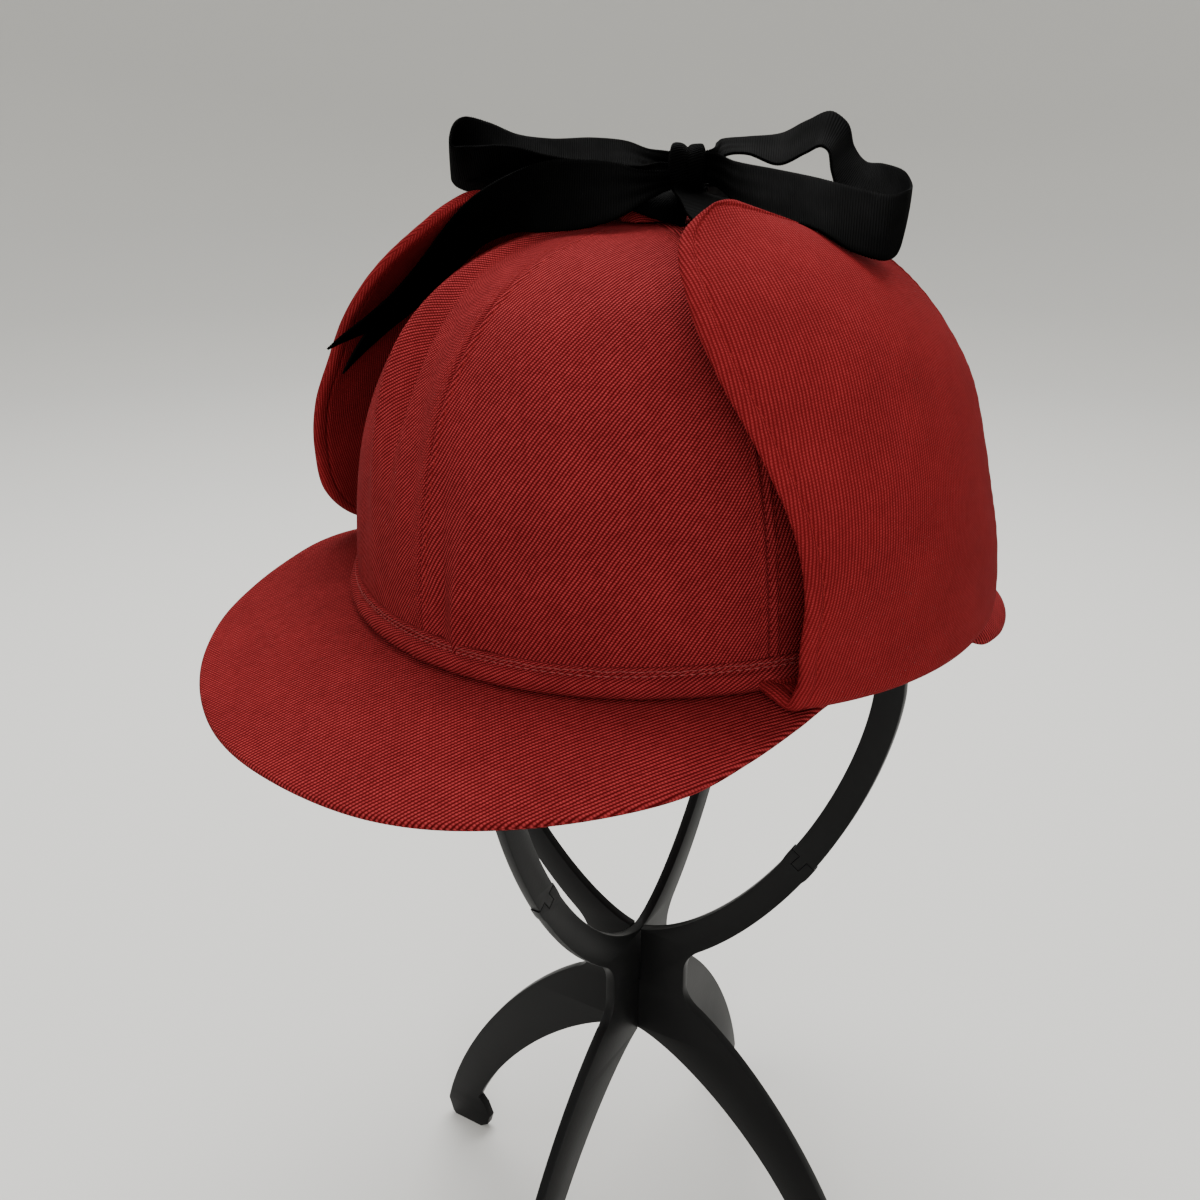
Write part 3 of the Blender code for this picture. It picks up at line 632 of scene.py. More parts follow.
BRIM_THICKNESS = 1.8
BRIM_ROOT = 2.0                # how far it reaches in under the band
BRIM_CURL = 1.4                # how its droop grows outwards: 1 is a straight slope
BRIM_TOP = -0.03               # its height at the root, close under the band
BRIM_TURN = 2.3                # how far it goes round the hat, about, in radians
BRIM_LINE, LINE_DEPTH = 5.0, 0.12          # the pressed line's distance from the edge
BRIM_RIPPLE, BRIM_FLUTTER = 0.35, 0.15     # its long waves and its short ones
NOSE_START = 0.46              # where the top's rows end and those round the edge begin
BrimRow = namedtuple("BrimRow", "angle width drop")
FRONT_BRIM = table(BrimRow, (
    (76, 3, 2.2),
    (67, 8.5, 1.9),
    (60, 16.5, 1.6),
    (52, 27.5, 1.6),
    (45, 36.8, 2.7),
    (38, 42.6, 4),
    (30, 46.8, 6.1),
    (15, 50.5, 9.7),
    (0, 51, 10.9),
    (-15, 50.4, 11.3),
    (-30, 46.6, 8.3),
    (-38, 42.5, 6.2),
    (-45, 37, 4.2),
    (-52, 31.5, 2.3),
    (-60, 26, 0.9),
    (-67, 21, 1.5),
    (-74, 13, 3.2),
    (-79, 3.5, 3.6),
))
BACK_BRIM_SIDE = table(BrimRow, (
    (180, 32, 22),
    (165, 30.5, 22),
    (152, 27, 21.5),
    (142, 23.5, 21),
    (136, 21.5, 20),
    (130, 19, 19),
    (124, 16, 18),
    (118, 13, 16),
    (112, 9.5, 14),
    (108, 6.5, 10.5),
    (104, 3.5, 6),
))


def quarter_round(distance, radius):
    """How full a rounded edge is, from 0 to 1, at a distance in from it."""
    return np.sqrt(1 - (1 - np.clip(distance / radius, 0, 1)) ** 2)


def brim_shell(rows):
    """A brim's places, and those of its cloth laid flat, over its top, round and back under."""
    edge = curve_through(rows)

    def profile(u, v):
        angle, width, drop = edge(u).T
        from_end = np.minimum(u, 1 - u) * BRIM_TURN * CROWN_RADIUS
        nose = BRIM_THICKNESS / 2 * quarter_round(from_end, BRIM_THICKNESS)
        share = np.clip(np.minimum(v, 1 - v) / NOSE_START, 0, 1)
        turn = math.pi * np.clip((v - NOSE_START) / (1 - 2 * NOSE_START), 0, 1)
        along = share * (width + BRIM_ROOT - nose) - BRIM_ROOT
        below = nose * (1 - np.cos(turn)) * quarter_round(along + BRIM_ROOT, BRIM_THICKNESS)
        unrolled = along + nose * np.minimum(turn, math.pi - turn)
        return angle, along + nose * np.sin(turn), below, unrolled, width, drop

    def place(u, v):
        angle, outward, below, _, width, drop = profile(u, v)
        share = np.clip(outward / width, 0, 1)
        ripple = (BRIM_RIPPLE * np.sin(angle / 11 + 1.0) * np.sin(share * 2.6)
                  + BRIM_FLUTTER * np.sin(angle / 4.1))
        pressed = LINE_DEPTH * bump(width - outward - BRIM_LINE, 0.8)
        height = BRIM_TOP - drop * share ** BRIM_CURL + ripple * share ** 2
        return around(CROWN_RADIUS + outward, angle, height - below - pressed * (below < 0.1))

    def lay_flat(u, v):
        angle, _, _, unrolled, _, _ = profile(u, v)
        return around(CROWN_RADIUS + unrolled, angle, 0)[:, :2]
    return place, lay_flat


other_side = [row._replace(angle=360 - row.angle) for row in reversed(BACK_BRIM_SIDE[1:])]
BACK_BRIM = other_side + BACK_BRIM_SIDE
BRIM_WALE = 1.1                # its twill is a little coarser
# Its groove colour is painted shade as well.
brim_twill = make_twill("brim_twill", (0.052, 0.0022, 0.0027), (0.275, 0.0260, 0.0285), BRIM_WALE)
for name, rows, columns, wale_angle in (("front_brim", FRONT_BRIM, 300, 71),
                                        ("back_brim", BACK_BRIM, 240, 50)):
    brim = cloth_grid(name + "_cloth", columns, 100, *brim_shell(rows))
    turn_weave(brim, wale_angle)
    close_shell(brim)
    finish_piece(brim, brim_twill, "red_twill", name)


# ---------------------------------------------------------------- ear flaps
# Each flap is two layers of twill sewn together, turned out, pressed and stitched round its edge.
# It is folded up from the band, stands off the crown's side and is tied over the top.

FLAP_LAYER = 1.5
FLAP_SIDE_ANGLE = 89.0
FLAP_WIDTH = 95.0
FLAP_LENGTH = 160.0
FLAP_CORNER = 15.0             # radius of the two corners at the flap's tip
FLAP_STITCH = 3.6              # the stitched line's distance from the flap's edge
FLAP_STITCH_START = 0.16       # where it starts, above the band, as a share of the length
FLAP_DIP = 0.42                # how far the stitches pull the cloth in
FLAP_ROLL = 0.16               # how far the edge outside them is raised
FLAP_PUCKER = 0.06
FLAP_WAVE = 0.5
FlapRow = namedtuple("FlapRow", "left_radius left_angle right_radius right_angle front_height "
                                "side_radius side_height back_radius back_angle back_height")
FLAP_ROWS = table(FlapRow, (
    (92.4, 57, 92.4, 72, 2.4, 92.2, 1.2, 92.2, 115, 1),
    (98.5, 58, 98.5, 71.5, 1.9, 97.8, -2.3, 97.4, 115.5, -3.4),
    (103, 59, 104, 70, 1.4, 101.2, -1.9, 100.4, 116, -3),
    (105, 60, 108.5, 66, 6, 102, 4, 100.6, 116.5, 3),
    (106.5, 60, 112, 61.5, 16, 102, 16, 99.5, 117, 15),
    (108, 60, 113.5, 61, 31, 101, 32, 96.5, 117, 30),
    (104.5, 59, 109.5, 59.5, 46, 98, 48, 93, 118, 45),
    (97, 56, 100.5, 57.5, 62, 92, 63, 88.5, 119, 60),
    (88.5, 51.5, 89.5, 53, 78, 83, 78, 80.5, 120, 74),
    (77, 48.5, 77, 50, 92, 70, 91, 73, 120, 84),
    (62, 49, 62, 50, 104, 57, 99.5, 66, 118, 91),
    (50, 58, 50, 57, 113, 49, 102.5, 62, 113, 93.5),
))


def flap_place(side, layer):
    """The face of one of a flap's layers: 1 is the outer one and -1 the one next to the crown."""
    rows = curve_through(FLAP_ROWS)

    def middle_of(u, v):
        row = FlapRow(*rows(v).T)
        front_radius, front_angle, mirror = row.left_radius, row.left_angle, 1
        if side == "right":
            front_radius, front_angle, mirror = row.right_radius, row.right_angle, -1
        across = u if side == "left" else 1 - u
        # A parabola goes through the flap's front edge, its middle and its back edge.
        front, middle, back = ((1 - across) * (1 - 2 * across), 4 * across * (1 - across),
                               across * (2 * across - 1))
        radius = front * front_radius + middle * row.side_radius + back * row.back_radius
        angle = front * front_angle + middle * FLAP_SIDE_ANGLE + back * row.back_angle
        height = front * row.front_height + middle * row.side_height + back * row.back_height
        return around(radius, mirror * angle, height)

    def rounded_corner(u, v):
        edge = np.minimum(u, 1 - u) * FLAP_WIDTH
        top = (1 - v) * FLAP_LENGTH
        p = np.clip(1 - edge / FLAP_CORNER, 0, 1)
        q = np.clip(1 - top / FLAP_CORNER, 0, 1)
        new_edge = FLAP_CORNER * (1 - p * np.sqrt(1 - q * q / 2))
        new_top = FLAP_CORNER * (1 - q * np.sqrt(1 - p * p / 2))
        edge = np.where(p > 0, new_edge, edge)
        top = np.where(q > 0, new_top, top)
        return np.where(u < 0.5, edge / FLAP_WIDTH, 1 - edge / FLAP_WIDTH), 1 - top / FLAP_LENGTH

    def place(u, v):
        u, v = np.clip(u, 0, 1), np.clip(v, 0, 1)
        from_edge = np.minimum(np.minimum(u, 1 - u) * FLAP_WIDTH,
                               np.minimum(v, 1 - v) * FLAP_LENGTH)
        u, v = rounded_corner(u, v)
        step = 2e-3
        ahead_u = middle_of(np.minimum(u + step, 1), v) - middle_of(np.maximum(u - step, 0), v)
        ahead_v = middle_of(u, np.minimum(v + step, 1)) - middle_of(u, np.maximum(v - step, 0))
        outward = unit(np.cross(ahead_u, ahead_v))
        uneven = np.sin(v * 150 + 3 * np.sin(v * 23))
        relief = (-FLAP_DIP * bump(from_edge - FLAP_STITCH, 0.5)
                  + FLAP_ROLL * bump(from_edge - FLAP_STITCH + 1.1, 0.7)
                  + FLAP_PUCKER * uneven * bump(from_edge - 3.0, 2.0))
        wave = FLAP_WAVE * np.sin(u * 5.1 + v * 3.3) * np.sin(v * 7.0 - u * 2.0)
        lift = layer * (FLAP_LAYER * quarter_round(from_edge, FLAP_LAYER) + relief)
        lift = np.where(from_edge < 0.01, 0, lift) + wave * np.clip(v * 5 - 1, 0, 1)
        return middle_of(u, v) + lift[:, None] * outward
    return place


# Its groove colour is painted shade, with less contrast to the wales than on the crown.
flap_twill = make_twill("flap_twill", (0.095, 0.0050, 0.0057), (0.225, 0.0180, 0.0203),
                        strength=0.6)
for side, wale_angle in (("left", 77.0), ("right", 103.0)):
    name = "ear_flap_" + side
    layers = []
    for layer, turn in ((1, wale_angle), (-1, 180 - wale_angle)):
        place = flap_place(side, layer)
        cloth = cloth_grid(name + "_cloth", 120, 150,
                           lambda u, v: place(near_edges(u), near_edges(v)))
        turn_weave(cloth, turn)
        layers.append(cloth)
    layers[0].select_set(True)
    bpy.ops.object.join()
    flap = bpy.context.object
    flap.name = flap.data.name = name + "_cloth"
    close_shell(flap)
    finish_piece(flap, flap_twill, "red_twill", name)
    left, top = FLAP_STITCH / FLAP_WIDTH, 1 - FLAP_STITCH / FLAP_LENGTH
    upward = np.linspace(FLAP_STITCH_START, top, 40)
    path_u = np.concatenate((np.full(40, left), np.linspace(left, 1 - left, 30),
                             np.full(40, 1 - left)))
    path_v = np.concatenate((upward, np.full(30, top), upward[::-1]))
    sew(name + "_stitches", flap_place(side, 1), path_u, path_v, TOPSTITCH, steps=1200)


# ---------------------------------------------------------------- ribbon bow
# A black grosgrain ribbon, 22 mm wide, is sewn under each flap's tip and tied in a bow on top.
# Its ribs run across it, its edges are woven in small scallops, and its free ends are cut in a V.

RIBBON_THICKNESS = 0.7
RIBBON_ROUNDING = 0.12
RIB = 0.7                      # from one of the ribbon's ribs to the next
WARP = 0.45                    # from one of its lengthwise yarns to the next
WARP_HEIGHT = 0.12             # how high they are, as a share of a rib
SCALLOP = 0.16                 # how far its edge goes in and out, once a rib
PLEAT = 0.5                    # how high the knot gathers it
PLEAT_REACH = 9.0
STEPS_PER_RIB = 3
Station = namedtuple("Station", "upper_x upper_y upper_z lower_x lower_y lower_z")
LOOP_RIGHT = table(Station, (
    (16, -0.5, 119, 16, -0.5, 112.8),
    (20.6, 2.1, 119.6, 20.9, 1.8, 112),
    (24, 8, 117, 31, 0.5, 107.4),
    (32.5, 15.5, 114.5, 44, 0.8, 104),
    (44.5, 17, 112.5, 57, -0.6, 102),
    (56.5, 18.5, 110, 66.5, 1.6, 97.2),
    (63.5, 21, 108.5, 71.8, 6, 95),
    (64, 28, 109, 71, 13, 95),
    (60, 38, 109.5, 68, 21, 99),
    (53.5, 45, 112.5, 61.5, 28.5, 101),
    (45.5, 47.5, 114, 52.5, 30, 103),
    (39, 48.5, 114.5, 44.5, 29, 106.5),
    (33.5, 50.5, 118.5, 40, 30.5, 113),
    (29.5, 52, 125, 37, 32.5, 118.5),
    (26, 50.5, 127.5, 35, 32, 119.5),
    (21, 46, 125.5, 32.5, 28.5, 118),
    (17.5, 38.5, 122.5, 29, 21.5, 115.5),
    (12.5, 29.5, 122, 23, 15.5, 118.5),
    (11.5, 18.5, 122, 19.5, 10.5, 118.5),
    (18.6, 5, 120.2, 19.1, 4.2, 114),
    (15.6, 1.6, 119.6, 15.8, 1.2, 114),
))
LOOP_LEFT = table(Station, (
    (13.4, 0.2, 119.4, 13.2, 0, 113.4),
    (9.2, -1.4, 120, 8.9, -1.7, 113.2),
    (-3, 3.8, 120.5, 2.5, -2.4, 114.5),
    (-13, 7, 122, -4, -2.5, 115.5),
    (-26, 6, 123, -15, -6, 115),
    (-40.5, 2, 123, -27.5, -11.5, 113),
    (-49.5, -2.5, 124.5, -37, -15, 112.5),
    (-56, -7.5, 128, -46.5, -17.5, 112.5),
    (-58.5, -14.5, 130, -55, -18.5, 112.4),
    (-54.5, -23, 127, -62.5, -18, 113.2),
    (-50, -27.5, 123, -61.5, -17, 110.8),
    (-44.5, -25.5, 122.5, -55.5, -13.5, 108.4),
    (-35, -20.5, 122.5, -46, -9, 108.6),
    (-21.5, -15.6, 119.5, -32, -5.5, 109.5),
    (-7.6, -10, 117.3, -16, -1.5, 110),
    (3.2, -6.4, 116.8, -1.2, -2.4, 110.5),
    (10.3, -3.5, 117.5, 10.3, -3.5, 111.2),
    (13.6, -1.8, 117, 13.6, -1.8, 112),
))
TAIL_FRONT = table(Station, (
    (14.2, -2.6, 115.4, 14.4, -2.8, 111.6),
    (11.6, -5.5, 115.5, 12.4, -6, 110.6),
    (5, -9, 116, 10, -13.5, 107.6),
    (-1, -10, 117.5, 7, -19, 104.8),
    (-9.5, -14, 118.5, -1.5, -24, 102.2),
    (-18.5, -20.5, 118.5, -15, -26.5, 100.8),
    (-27, -28, 115, -31, -22, 99.5),
    (-36.5, -32.5, 109.5, -44, -21.5, 96),
    (-48.5, -35.5, 99.5, -57.5, -19.5, 89.5),
    (-55.5, -38.5, 91.5, -66, -22.5, 82),
    (-61, -44.5, 83.5, -72.5, -29.5, 75),
    (-64.5, -52, 77.5, -77.5, -38, 68.5),
    (-67.5, -62, 71.5, -80.5, -49.5, 60.5),
    (-68.6, -65, 69.2, -81.4, -52.6, 58),
))
TAIL_BACK = table(Station, (
    (8.4, 1.5, 113.4, 14.5, 4.6, 111.2),
    (1.5, 12.5, 111, 12.5, 16.5, 110),
    (-6, 24, 107.5, 11.5, 28.5, 107.5),
    (-11.5, 37, 103.8, 9, 43.5, 104),
    (-16, 50.5, 98.8, 4.5, 57.5, 98.5),
    (-20, 63.5, 91.8, 0.5, 71.5, 90.5),
    (-23, 75.5, 82.5, -3, 85, 79.5),
))
TIE_LEFT = table(Station, (
    (15.5, 2.5, 112, 13.5, -4.5, 112.4),
    (18, 5, 108.8, 16.5, -7.5, 110.6),
    (24, 6, 107.6, 21.6, -11.4, 109.1),
    (33, 4.5, 105, 29.9, -17, 105.4),
    (42, 2.5, 101, 39.5, -19.2, 103),
    (49.5, 2.5, 98.6, 47.8, -19.3, 100.6),
))
TIE_RIGHT = table(Station, (
    (17.5, 5, 110.5, 16.5, -3.6, 101.2),
    (9, 7.5, 109.4, 9, -8.5, 103.8),
    (2, 9, 108.8, 1.5, -10.4, 106.2),
    (-8, 11, 107.8, -9, -9, 106.2),
    (-22, 11, 105, -23, -10.5, 106),
    (-36, 10, 100.5, -36.5, -11.5, 103.5),
    (-48, 9, 97.4, -49, -12.5, 100.5),
))


def make_grosgrain():
    """Black ribs across the ribbon, with fine warp yarns over them, painted light on the ribs'
    crests and painted shade between them.
    """
    made, n, shader = new_finish("black_grosgrain")
    cloth = n.add("ShaderNodeUVMap", uv_map="cloth")
    split = n.tree.nodes.new("ShaderNodeSeparateXYZ")
    n.give(split, {0: cloth})
    rib = n.math("SINE", n.times(split.outputs["Y"], 2 * math.pi / (MM * RIB)))
    rib = n.span(rib, -1.0, 1.0, 0.0, 1.0)
    warp = n.math("SINE", n.times(split.outputs["X"], 2 * math.pi / (MM * WARP)))
    height = n.math("ADD", rib, n.times(warp, WARP_HEIGHT))
    cloudy = n.noise(cloth, 70.0, 3.0)
    # Painted light and shade: each rib is lighter at its crest and darker between ribs, varied at
    # random by the cloudiness.
    lit = n.times(rib, n.span(cloudy, 0.3, 0.7, 0.6, 1.0))
    colour = n.mix(lit, (0.0001, 0.0001, 0.0001, 1), (0.0013, 0.0013, 0.0012, 1))
    n.give(shader, {"Base Color": colour, "Roughness": n.span(cloudy, 0.3, 0.7, 0.8, 0.66),
                    "IOR": CLOTH_IOR, "Specular IOR Level": 0.05,
                    "Normal": n.bump(height, 0.55, 0.25)})
    return made


black_grosgrain = make_grosgrain()


def ribbon_place(stations, length, notch, cup, pleats):
    """A strip from station to station.

    notch is how deep the V at its last end is, as a share of the length. cup is the bulge across
    it at its first and last end. pleats are the ends, of 0 and 1, that the knot gathers.
    """
    at = curve_through(stations)

    def place(u, v):
        sideways = 2 * u - 1
        reach = v * (1 - notch * (1 - np.abs(sideways)) * v ** 8)
        bulge = (cup[0] + (cup[1] - cup[0]) * v) * (1 - sideways ** 2)
        for end in pleats:
            gathered = np.exp(-np.abs(v - end) * length / PLEAT_REACH)
            bulge = bulge + PLEAT * gathered * np.sin(6 * math.pi * u + 0.8 * end + 0.5)
        row = at(reach)
        step = 0.004
        ahead = at(np.minimum(reach + step, 1)) - at(np.maximum(reach - step, 0))
        across = row[:, 3:] - row[:, :3]
        outward = unit(np.cross(across, ahead[:, :3] + ahead[:, 3:]))
        edge = sideways * (np.abs(sideways) > 0.99)
        scallop = SCALLOP * edge * np.cos(2 * math.pi * v * length / RIB)
        return (row[:, :3] + across * u[:, None] + scallop[:, None] * unit(across)
                + bulge[:, None] * outward)
    return place


def add_ribbon(name, stations, length, notch=0.0, cup=(0.3, 0.3),
               pleats=()):
    """length is the strip's own length, as it would lie flat."""
    strip = cloth_grid(name + "_cloth", 16, int(STEPS_PER_RIB * length / RIB),
                       ribbon_place(stations, length, notch, cup, pleats))
    give_wall(strip, RIBBON_THICKNESS, RIBBON_ROUNDING, offset=0)
    finish_piece(strip, black_grosgrain, "black_ribbon", name)


add_ribbon("ribbon_loop_left", LOOP_LEFT, 154, pleats=(0, 1))
add_ribbon("ribbon_loop_right", LOOP_RIGHT, 160, pleats=(0, 1))
add_ribbon("ribbon_tail_front", TAIL_FRONT, 126, notch=0.10,
           pleats=(0,))
add_ribbon("ribbon_tail_back", TAIL_BACK, 92, notch=0.10)
add_ribbon("ribbon_tie_left", TIE_LEFT, 40, cup=(0.6, 0.3))
add_ribbon("ribbon_tie_right", TIE_RIGHT, 66, cup=(-2.4, 0.0))

KNOT_SEAT = (Matrix.Translation(Vector((14.9, 0.0, 115.9)))
             @ Matrix.Rotation(math.radians(35), 4, "Z"))
KNOT_LENGTH = 10.0
KNOT_RADIUS = 6.1
KNOT_FLATNESS = 0.78
KNOT_WRAPS = (2.4, -2.6)       # where along it the middles of its two wraps are
KNOT_WRAP_HALF = 2.5
KNOT_GROOVE = 0.9              # how deep the dips beside its wraps are
KNOT_TURN_IN = 1.6
KNOT_GIRTH = 34.0
KNOT_LEAN = 2.5                # how far askew the ribbon winds round it
KNOT_WALL = 0.8
KNOT_ROUNDING = 0.2


def knot_place(u, v):
    """Two uneven wraps of ribbon, side by side, that turn in at the knot's ends."""
    along = KNOT_LENGTH * (v - 0.5)
    turn = 2 * math.pi * u
    from_wrap = np.minimum(*(np.abs(along - middle) for middle in KNOT_WRAPS))
    end = bump(np.abs(along) - KNOT_LENGTH / 2, 0.5)
    radius = KNOT_RADIUS - KNOT_GROOVE * (from_wrap / KNOT_WRAP_HALF) ** 4 - KNOT_TURN_IN * end
    radius = radius + 0.25 * np.sin(turn * 2 + 0.6 * along) + 0.15 * np.sin(turn * 3 - along)
    local = (along, KNOT_FLATNESS * radius * np.cos(turn), radius * np.sin(turn))
    return placed(np.stack(local, axis=-1), KNOT_SEAT)


def knot_flat(u, v):
    """The ribbon winds round the knot, so its ribs run along it."""
    return np.stack((KNOT_LENGTH * v, KNOT_GIRTH * u + KNOT_LEAN * v), axis=-1)


knot = cloth_grid("ribbon_knot_cloth", 96, 44, knot_place, knot_flat)
weld_ends(knot)
give_wall(knot, KNOT_WALL, KNOT_ROUNDING)
finish_piece(knot, black_grosgrain, "black_ribbon", "ribbon_knot")


# ---------------------------------------------------------------- stand
# The stand is four flat mouldings in black plastic. Two upright plates cross at the waist, and
# the two arches of the dome plug into their arms. The moulds leave rounded edges and fine grain.

def make_black_plastic():
    """Satin black with the mould's fine grain."""
    made, n, shader = new_finish("black_plastic")
    place = n.add("ShaderNodeTexCoord", OBJECT_PLACE)
    grain, cloudy = n.noise(place, 900.0, 2.0), n.noise(place, 22.0, 4.0)
    colour = n.mix(cloudy, (0.0022, 0.0022, 0.0023, 1), (0.0055, 0.0055, 0.0055, 1))
    n.give(shader, {"Base Color": colour, "Roughness": n.span(cloudy, 0.3, 0.7, 0.36, 0.46),
                    "IOR": 1.35, "Specular IOR Level": 0.2, "Normal": n.bump(grain, 0.12, 0.2)})
    return made


black_plastic = make_black_plastic()

# The plates stand upright on the stand's axis. Their outlines are distances from it and heights.
STAND_TURN = 13.1
PLATE_THICKNESS = 3.5
PLATE_ROUNDING = 0.35
SLOT_HALF = 2.05
SLOT_GAP = 0.3                 # between two slots, where they meet halfway
ARM_CENTRE_HEIGHT = 246.0      # where the arms are farthest out and the dome starts
ARM_FULLNESS = 1.54            # the power of their superellipse
ARM_REACH, ARM_DROP = 86.6, 127.2          # their outer edge
BOWL_REACH, BOWL_DROP = 77.8, 113.9        # their inner edge
DOME_RISE, DOME_INNER_RISE = 124.9, 115.9
LEG_OFFSET = 7.7
LEG_FULLNESS = 1.46
LEG_REACH, LEG_HEIGHT = 84.8, 112.6
LEG_INNER_REACH, LEG_INNER_HEIGHT = 79.2, 88.3
WAIST_HALF_WIDTH = 19.5
WAIST_LOW, WAIST_HIGH = 113.5, 121.0       # its straight part
WAIST_CURVE_START = 25.0
WAIST_BEND = 6.0               # how far beyond that part its curves are pulled
FOOT_OUTLINE = ((72.1, 12.6), (69.8, 6.9), (71.0, 2.6), (74.5, 0.0), (88.0, 0.0), (89.4, 1.4),
                (90.5, 5.1))
FOOT_TOP = 15.4
JOINT_HEIGHT, JOINT_INNER_HEIGHT = 179.0, 184.3
SOCKET_LIP = 0.4               # how little the lower arm swells where the upper one plugs in
SOCKET_LENGTH = 7.0
TONGUE_HALF, TONGUE_LENGTH = 1.6, 4.5
SLIT = 0.06                    # the fine line that is left between the two arms


def quarter(reach, height, fullness, start, end):
    """Points (distance, fall) on a quarter of a superellipse, from one turn to another."""
    turn = np.radians(np.linspace(start, end, 48))
    return np.stack((reach * np.sin(turn) ** (2 / fullness),
                     height * np.abs(np.cos(turn)) ** (2 / fullness)), axis=-1)


def arm_line(reach, drop, start, end):
    distance, fall = quarter(reach, drop, ARM_FULLNESS, start, end).T
    return np.stack((distance, ARM_CENTRE_HEIGHT - fall), axis=-1)


def arm_turn(drop, height):
    """The turn at which an arm's curve is at the given height."""
    return math.degrees(math.acos(((ARM_CENTRE_HEIGHT - height) / drop) ** (ARM_FULLNESS / 2)))


def bend(start, corner, end):
    """Points on the curve from start to end that is pulled towards corner."""
    t = np.linspace(0, 1, 12)[:, None]
    return (1 - t)**2 * start + 2 * t * (1 - t) * corner + t**2 * end


outer_turn = arm_turn(ARM_DROP, JOINT_HEIGHT)
inner_turn = arm_turn(BOWL_DROP, JOINT_INNER_HEIGHT)
joint_outer = arm_line(ARM_REACH, ARM_DROP, outer_turn, outer_turn)[0]
joint_inner = arm_line(BOWL_REACH, BOWL_DROP, inner_turn, inner_turn)[0]
joint_across = (joint_inner - joint_outer) / np.linalg.norm(joint_inner - joint_outer)
joint_along = np.array((joint_across[1], -joint_across[0]))


def swollen(arm, end, outward):
    """An arm's edge, swollen towards the joint at its end."""
    near = np.clip((SOCKET_LENGTH - np.linalg.norm(arm - end, axis=1)) / 2.0, 0, 1)
    return arm + (SOCKET_LIP * near * near * (3 - 2 * near))[:, None] * outward


def arm_joint(lift):
    """The line across an arm where it is divided, from outside in, round the tongue."""
    middle = (joint_outer + joint_inner) / 2 + joint_along * lift
    half = joint_across * (TONGUE_HALF - lift)
    deep = joint_along * TONGUE_LENGTH
    return np.array((middle - half, middle - half - deep, middle + half - deep, middle + half))


def waist_at(height):
    return np.array((WAIST_HALF_WIDTH, height))


def mirrored(*lines):
    """A closed outline from its right half, which is listed from bottom to top."""
    half = np.concatenate(lines)
    return np.concatenate((half, half[::-1] * (-1, 1)))


def plate_outline(slot_from_top):
    """Legs, waist and lower arms. The slot at the waist takes the other plate."""
    inner = quarter(LEG_INNER_REACH, LEG_INNER_HEIGHT, LEG_FULLNESS, 5, 80)
    leg = quarter(LEG_REACH, LEG_HEIGHT, LEG_FULLNESS, 88, 16) + (LEG_OFFSET, 0)
    leg = leg[(leg[:, 1] > FOOT_TOP / 2) & (leg[:, 0] > WAIST_CURVE_START)]
    arm = arm_line(ARM_REACH, ARM_DROP, 14, outer_turn)
    arm = arm[arm[:, 0] > WAIST_CURVE_START]
    bowl = arm_line(BOWL_REACH, BOWL_DROP, inner_turn, 4.9)
    middle = (LEG_INNER_HEIGHT + ARM_CENTRE_HEIGHT - BOWL_DROP) / 2
    if slot_from_top:
        below = [(0.0, LEG_INNER_HEIGHT)]
        above = [(SLOT_HALF, bowl[-1, 1] - 0.3), (SLOT_HALF, middle - SLOT_GAP / 2)]
    else:
        below = [(SLOT_HALF, middle + SLOT_GAP / 2), (SLOT_HALF, LEG_INNER_HEIGHT - 0.5)]
        above = [(0.0, ARM_CENTRE_HEIGHT - BOWL_DROP)]
    return mirrored(below, inner[inner[:, 1] > FOOT_TOP], FOOT_OUTLINE, leg,
                    bend(leg[-1], waist_at(WAIST_LOW - WAIST_BEND), waist_at(WAIST_LOW)),
                    bend(waist_at(WAIST_HIGH), waist_at(WAIST_HIGH + WAIST_BEND), arm[0])[:-1],
                    swollen(arm, joint_outer, -joint_across), arm_joint(0.0),
                    swollen(bowl, joint_inner, joint_across), above)


def arch_outline(slot_from_top):
    """Upper arms and dome. The slot at the top takes the other arch."""
    def dome(reach, rise, start, end):
        turn = np.radians(np.linspace(start, end, 60))
        return np.stack((reach * np.cos(turn), ARM_CENTRE_HEIGHT + rise * np.sin(turn)), axis=-1)

    top = ARM_CENTRE_HEIGHT + DOME_RISE
    underside = ARM_CENTRE_HEIGHT + DOME_INNER_RISE
    middle = (top + underside) / 2
    if slot_from_top:
        crossing = [(SLOT_HALF, top - 0.05), (SLOT_HALF, middle - SLOT_GAP / 2)]
        under = [(0.0, underside)]
    else:
        crossing = [(0.0, top)]
        under = [(SLOT_HALF, middle + SLOT_GAP / 2), (SLOT_HALF, underside - 0.02)]
    lift = joint_along * SLIT
    return mirrored(under, dome(BOWL_REACH, DOME_INNER_RISE, 86, 0.5),
                    arm_line(BOWL_REACH, BOWL_DROP, 90, inner_turn)[:-1], [joint_inner + lift],
                    arm_joint(SLIT)[::-1], [joint_outer + lift],
                    arm_line(ARM_REACH, ARM_DROP, outer_turn, 90)[1:],
                    dome(ARM_REACH, DOME_RISE, 0.5, 87), crossing)


